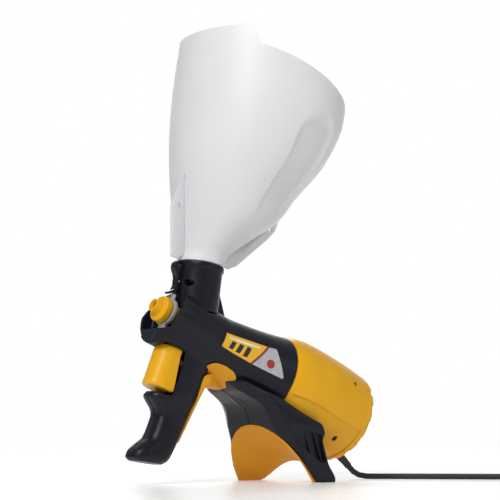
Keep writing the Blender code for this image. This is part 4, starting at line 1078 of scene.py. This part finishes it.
def make_trigger():
    rows = [(-24.5, -121.0, 13.2, -141.0), (-25.5, -121.0, 13.7, -142.2), (-32.0, -121.5, 14.0, -143.0),
            (-60.0, -117.5, 14.0, -143.0), (-65.2, -116.8, 13.9, -143.4), (-66.6, -117.0, 13.5, -143.2),
            (-67.3, -117.5, 12.6, -142.4)]
    body = loft("trigger_shell", [trigger_ring(*row) for row in rows], None, BARREL)
    hollow = [trigger_ring(-27.0, -100.0, 11.0, -138.5), trigger_ring(-65.0, -100.0, 11.6, -141.0)]
    cut(body, loft("trigger_space", hollow, None, BARREL))
    for side in (-1, 1):
        for inner, outer, z in ((10.6, 13.4, (-30.0, -15.0)), (10.6, 18.2, (-18.0, -15.0)),
                                (15.2, 18.2, (-18.0, 8.0))):
            low, high = sorted((side * inner, side * outer))
            join(body, cuboid("arm", (-130.0, low, z[0]), (-121.2, high, z[1]), None, BARREL))
    join(body, cuboid("post", (-140.0, -3.0, -35.0), (-110.2, 3.0, -30.0), None, BARREL))
    cut(body, rod("pivot_bore", (-126.0, 0.0, 4.0), "y", 2.3, 50.0, None, BARREL, 32))
    soften(body, 0.45, 3)
    refinish(body, yellow)
    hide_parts("trigger")
    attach(body, "trigger")


# ---------------------------------------------------------------- label

def on_flank(x, z, lift, side):
    radius, up = smooth_mix(BARREL_ROWS, x)
    reach = radius + lift
    return (x, side * math.sqrt(max(reach ** 2 - (z - up) ** 2, 0.0)), z)


def decal(name, outline, low, high, side, finish):
    """A thin printed film on the barrel's flank, from an outline of (x, z) points."""
    shape = bmesh.new()
    face = shape.faces.new([shape.verts.new((x, 0.0, z)) for x, z in outline])
    bmesh.ops.triangulate(shape, faces=[face])
    for _ in range(7):
        long_edges = [e for e in shape.edges if e.calc_length() > 2.2]
        if not long_edges:
            break
        bmesh.ops.subdivide_edges(shape, edges=long_edges, cuts=1)
        bmesh.ops.triangulate(shape, faces=list(shape.faces))
    back = bmesh.ops.duplicate(shape, geom=list(shape.verts) + list(shape.edges) + list(shape.faces))
    mates = back["vert_map"]
    top = [v for v in shape.verts if v not in set(g for g in back["geom"]
                                                  if isinstance(g, bmesh.types.BMVert))]
    rim = [e for e in shape.edges if e.is_boundary and all(v in set(top) for v in e.verts)]
    for edge in rim:
        a, b = edge.verts
        shape.faces.new((a, b, mates[b], mates[a]))
    for vertex in top:
        bottom = mates[vertex]
        bottom.co = Vector(on_flank(vertex.co.x, vertex.co.z, low, side))
        vertex.co = Vector(on_flank(vertex.co.x, vertex.co.z, high, side))
    return from_bmesh(name, shape, finish, BARREL, 50.0)


def make_labels():
    panel = round_corners([(-90.0, 9.5), (-40.0, 16.0), (-26.5, 18.8), (-20.5, 7.0), (-11.5, -8.0),
                           (-11.8, -10.4), (-51.0, -9.6), (-91.2, -7.4)], 1.4)
    left_part = round_corners([(-89.0, 8.4), (-38.2, 15.6), (-52.8, -8.6), (-90.0, -6.4)], 0.8)
    stripe = [(-37.6, 15.7), (-36.0, 15.9), (-50.6, -8.7), (-52.2, -8.6)]
    right_part = round_corners([(-35.4, 16.0), (-27.0, 17.8), (-21.3, 6.6), (-13.0, -7.6),
                                (-13.2, -9.4), (-50.0, -8.7)], 0.8)
    bars = [round_corners([(x, low), (x + 5.2, low), (x + 5.2 + lean, high), (x + lean, high)], 0.5)
            for x, low, high, lean in ((-82.0, -4.6, 3.6, 2.2), (-73.0, -5.0, 4.6, 2.4),
                                       (-64.0, -5.4, 5.6, 2.6))]
    wave = [(-85.0, 6.0), (-60.0, 9.6), (-47.0, 11.6), (-47.0, 9.6), (-60.0, 7.4), (-85.0, 4.4)]
    drop = [(-31.0 + 4.6 * math.cos(a), -0.6 + 4.6 * math.sin(a))
            for a in (2 * math.pi * i / 40 for i in range(40))]
    fields = [(left_part, print_yellow, "left_field"), (stripe, print_red, "divider"),
              (right_part, speckle, "right_field")]
    marks = [(bar, print_black, f"bar_{i}") for i, bar in enumerate(bars)]
    marks += [(wave, print_white, "swoosh"), (drop, print_red, "dot")]
    for side, node in ((-1, "label_left"), (1, "label_right")):
        tag = node[6:]
        base = decal("panel_" + tag, panel, 0.05, 0.75, side, print_black)
        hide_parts(node)
        pieces = [base] + [decal(f"{name}_{tag}", edge, 0.72, 0.88, side, finish)
                           for edge, finish, name in fields]
        pieces += [decal(f"{name}_{tag}", edge, 0.86, 0.96, side, finish)
                   for edge, finish, name in marks]
        for piece in pieces:
            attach(piece, "gun")


# ---------------------------------------------------------------- kept CAD nodes

KEPT = {
    black_fine: ["inlet_grille", "barrel_bulkhead", "air_duct", "switch_body", "cover_screw_upper",
                 "cover_screw_lower"],
    grey: ["turbine_shroud", "front_bracket", "rear_bracket"],
    steel: ["latch_pin", "trigger_pin_left", "trigger_pin_right", "trigger_spring", "needle_spring",
            "needle_rod", "motor_shaft", "armature", "stator", "front_bearing", "rear_bearing"],
    brass: ["fluid_seat", "needle_gland", "plug_blade_a", "plug_blade_b"],
    copper: ["commutator", "front_winding", "rear_winding"],
    rubber: ["plug_body", "switch_lead", "motor_mount_ring", "brush_left", "brush_right"],
    seal: ["spout_seal", "nozzle_seal"],
    foam: ["filter_foam"],
    natural: ["impeller", "air_tube", "pull_yoke", "switch_plunger"],
}


def finish_kept_nodes():
    for finish, nodes in KEPT.items():
        for node in nodes:
            for material_slot in bpy.data.objects[node].material_slots:
                material_slot.material = finish


make_camera()
make_stage()
make_lights()
make_cord()
make_housing()
make_motor_cover()
make_rear_cap()
make_spout()
make_nozzle()
make_latch()
make_hopper()
make_liner()
make_back_strap()
make_trigger()
make_labels()
finish_kept_nodes()
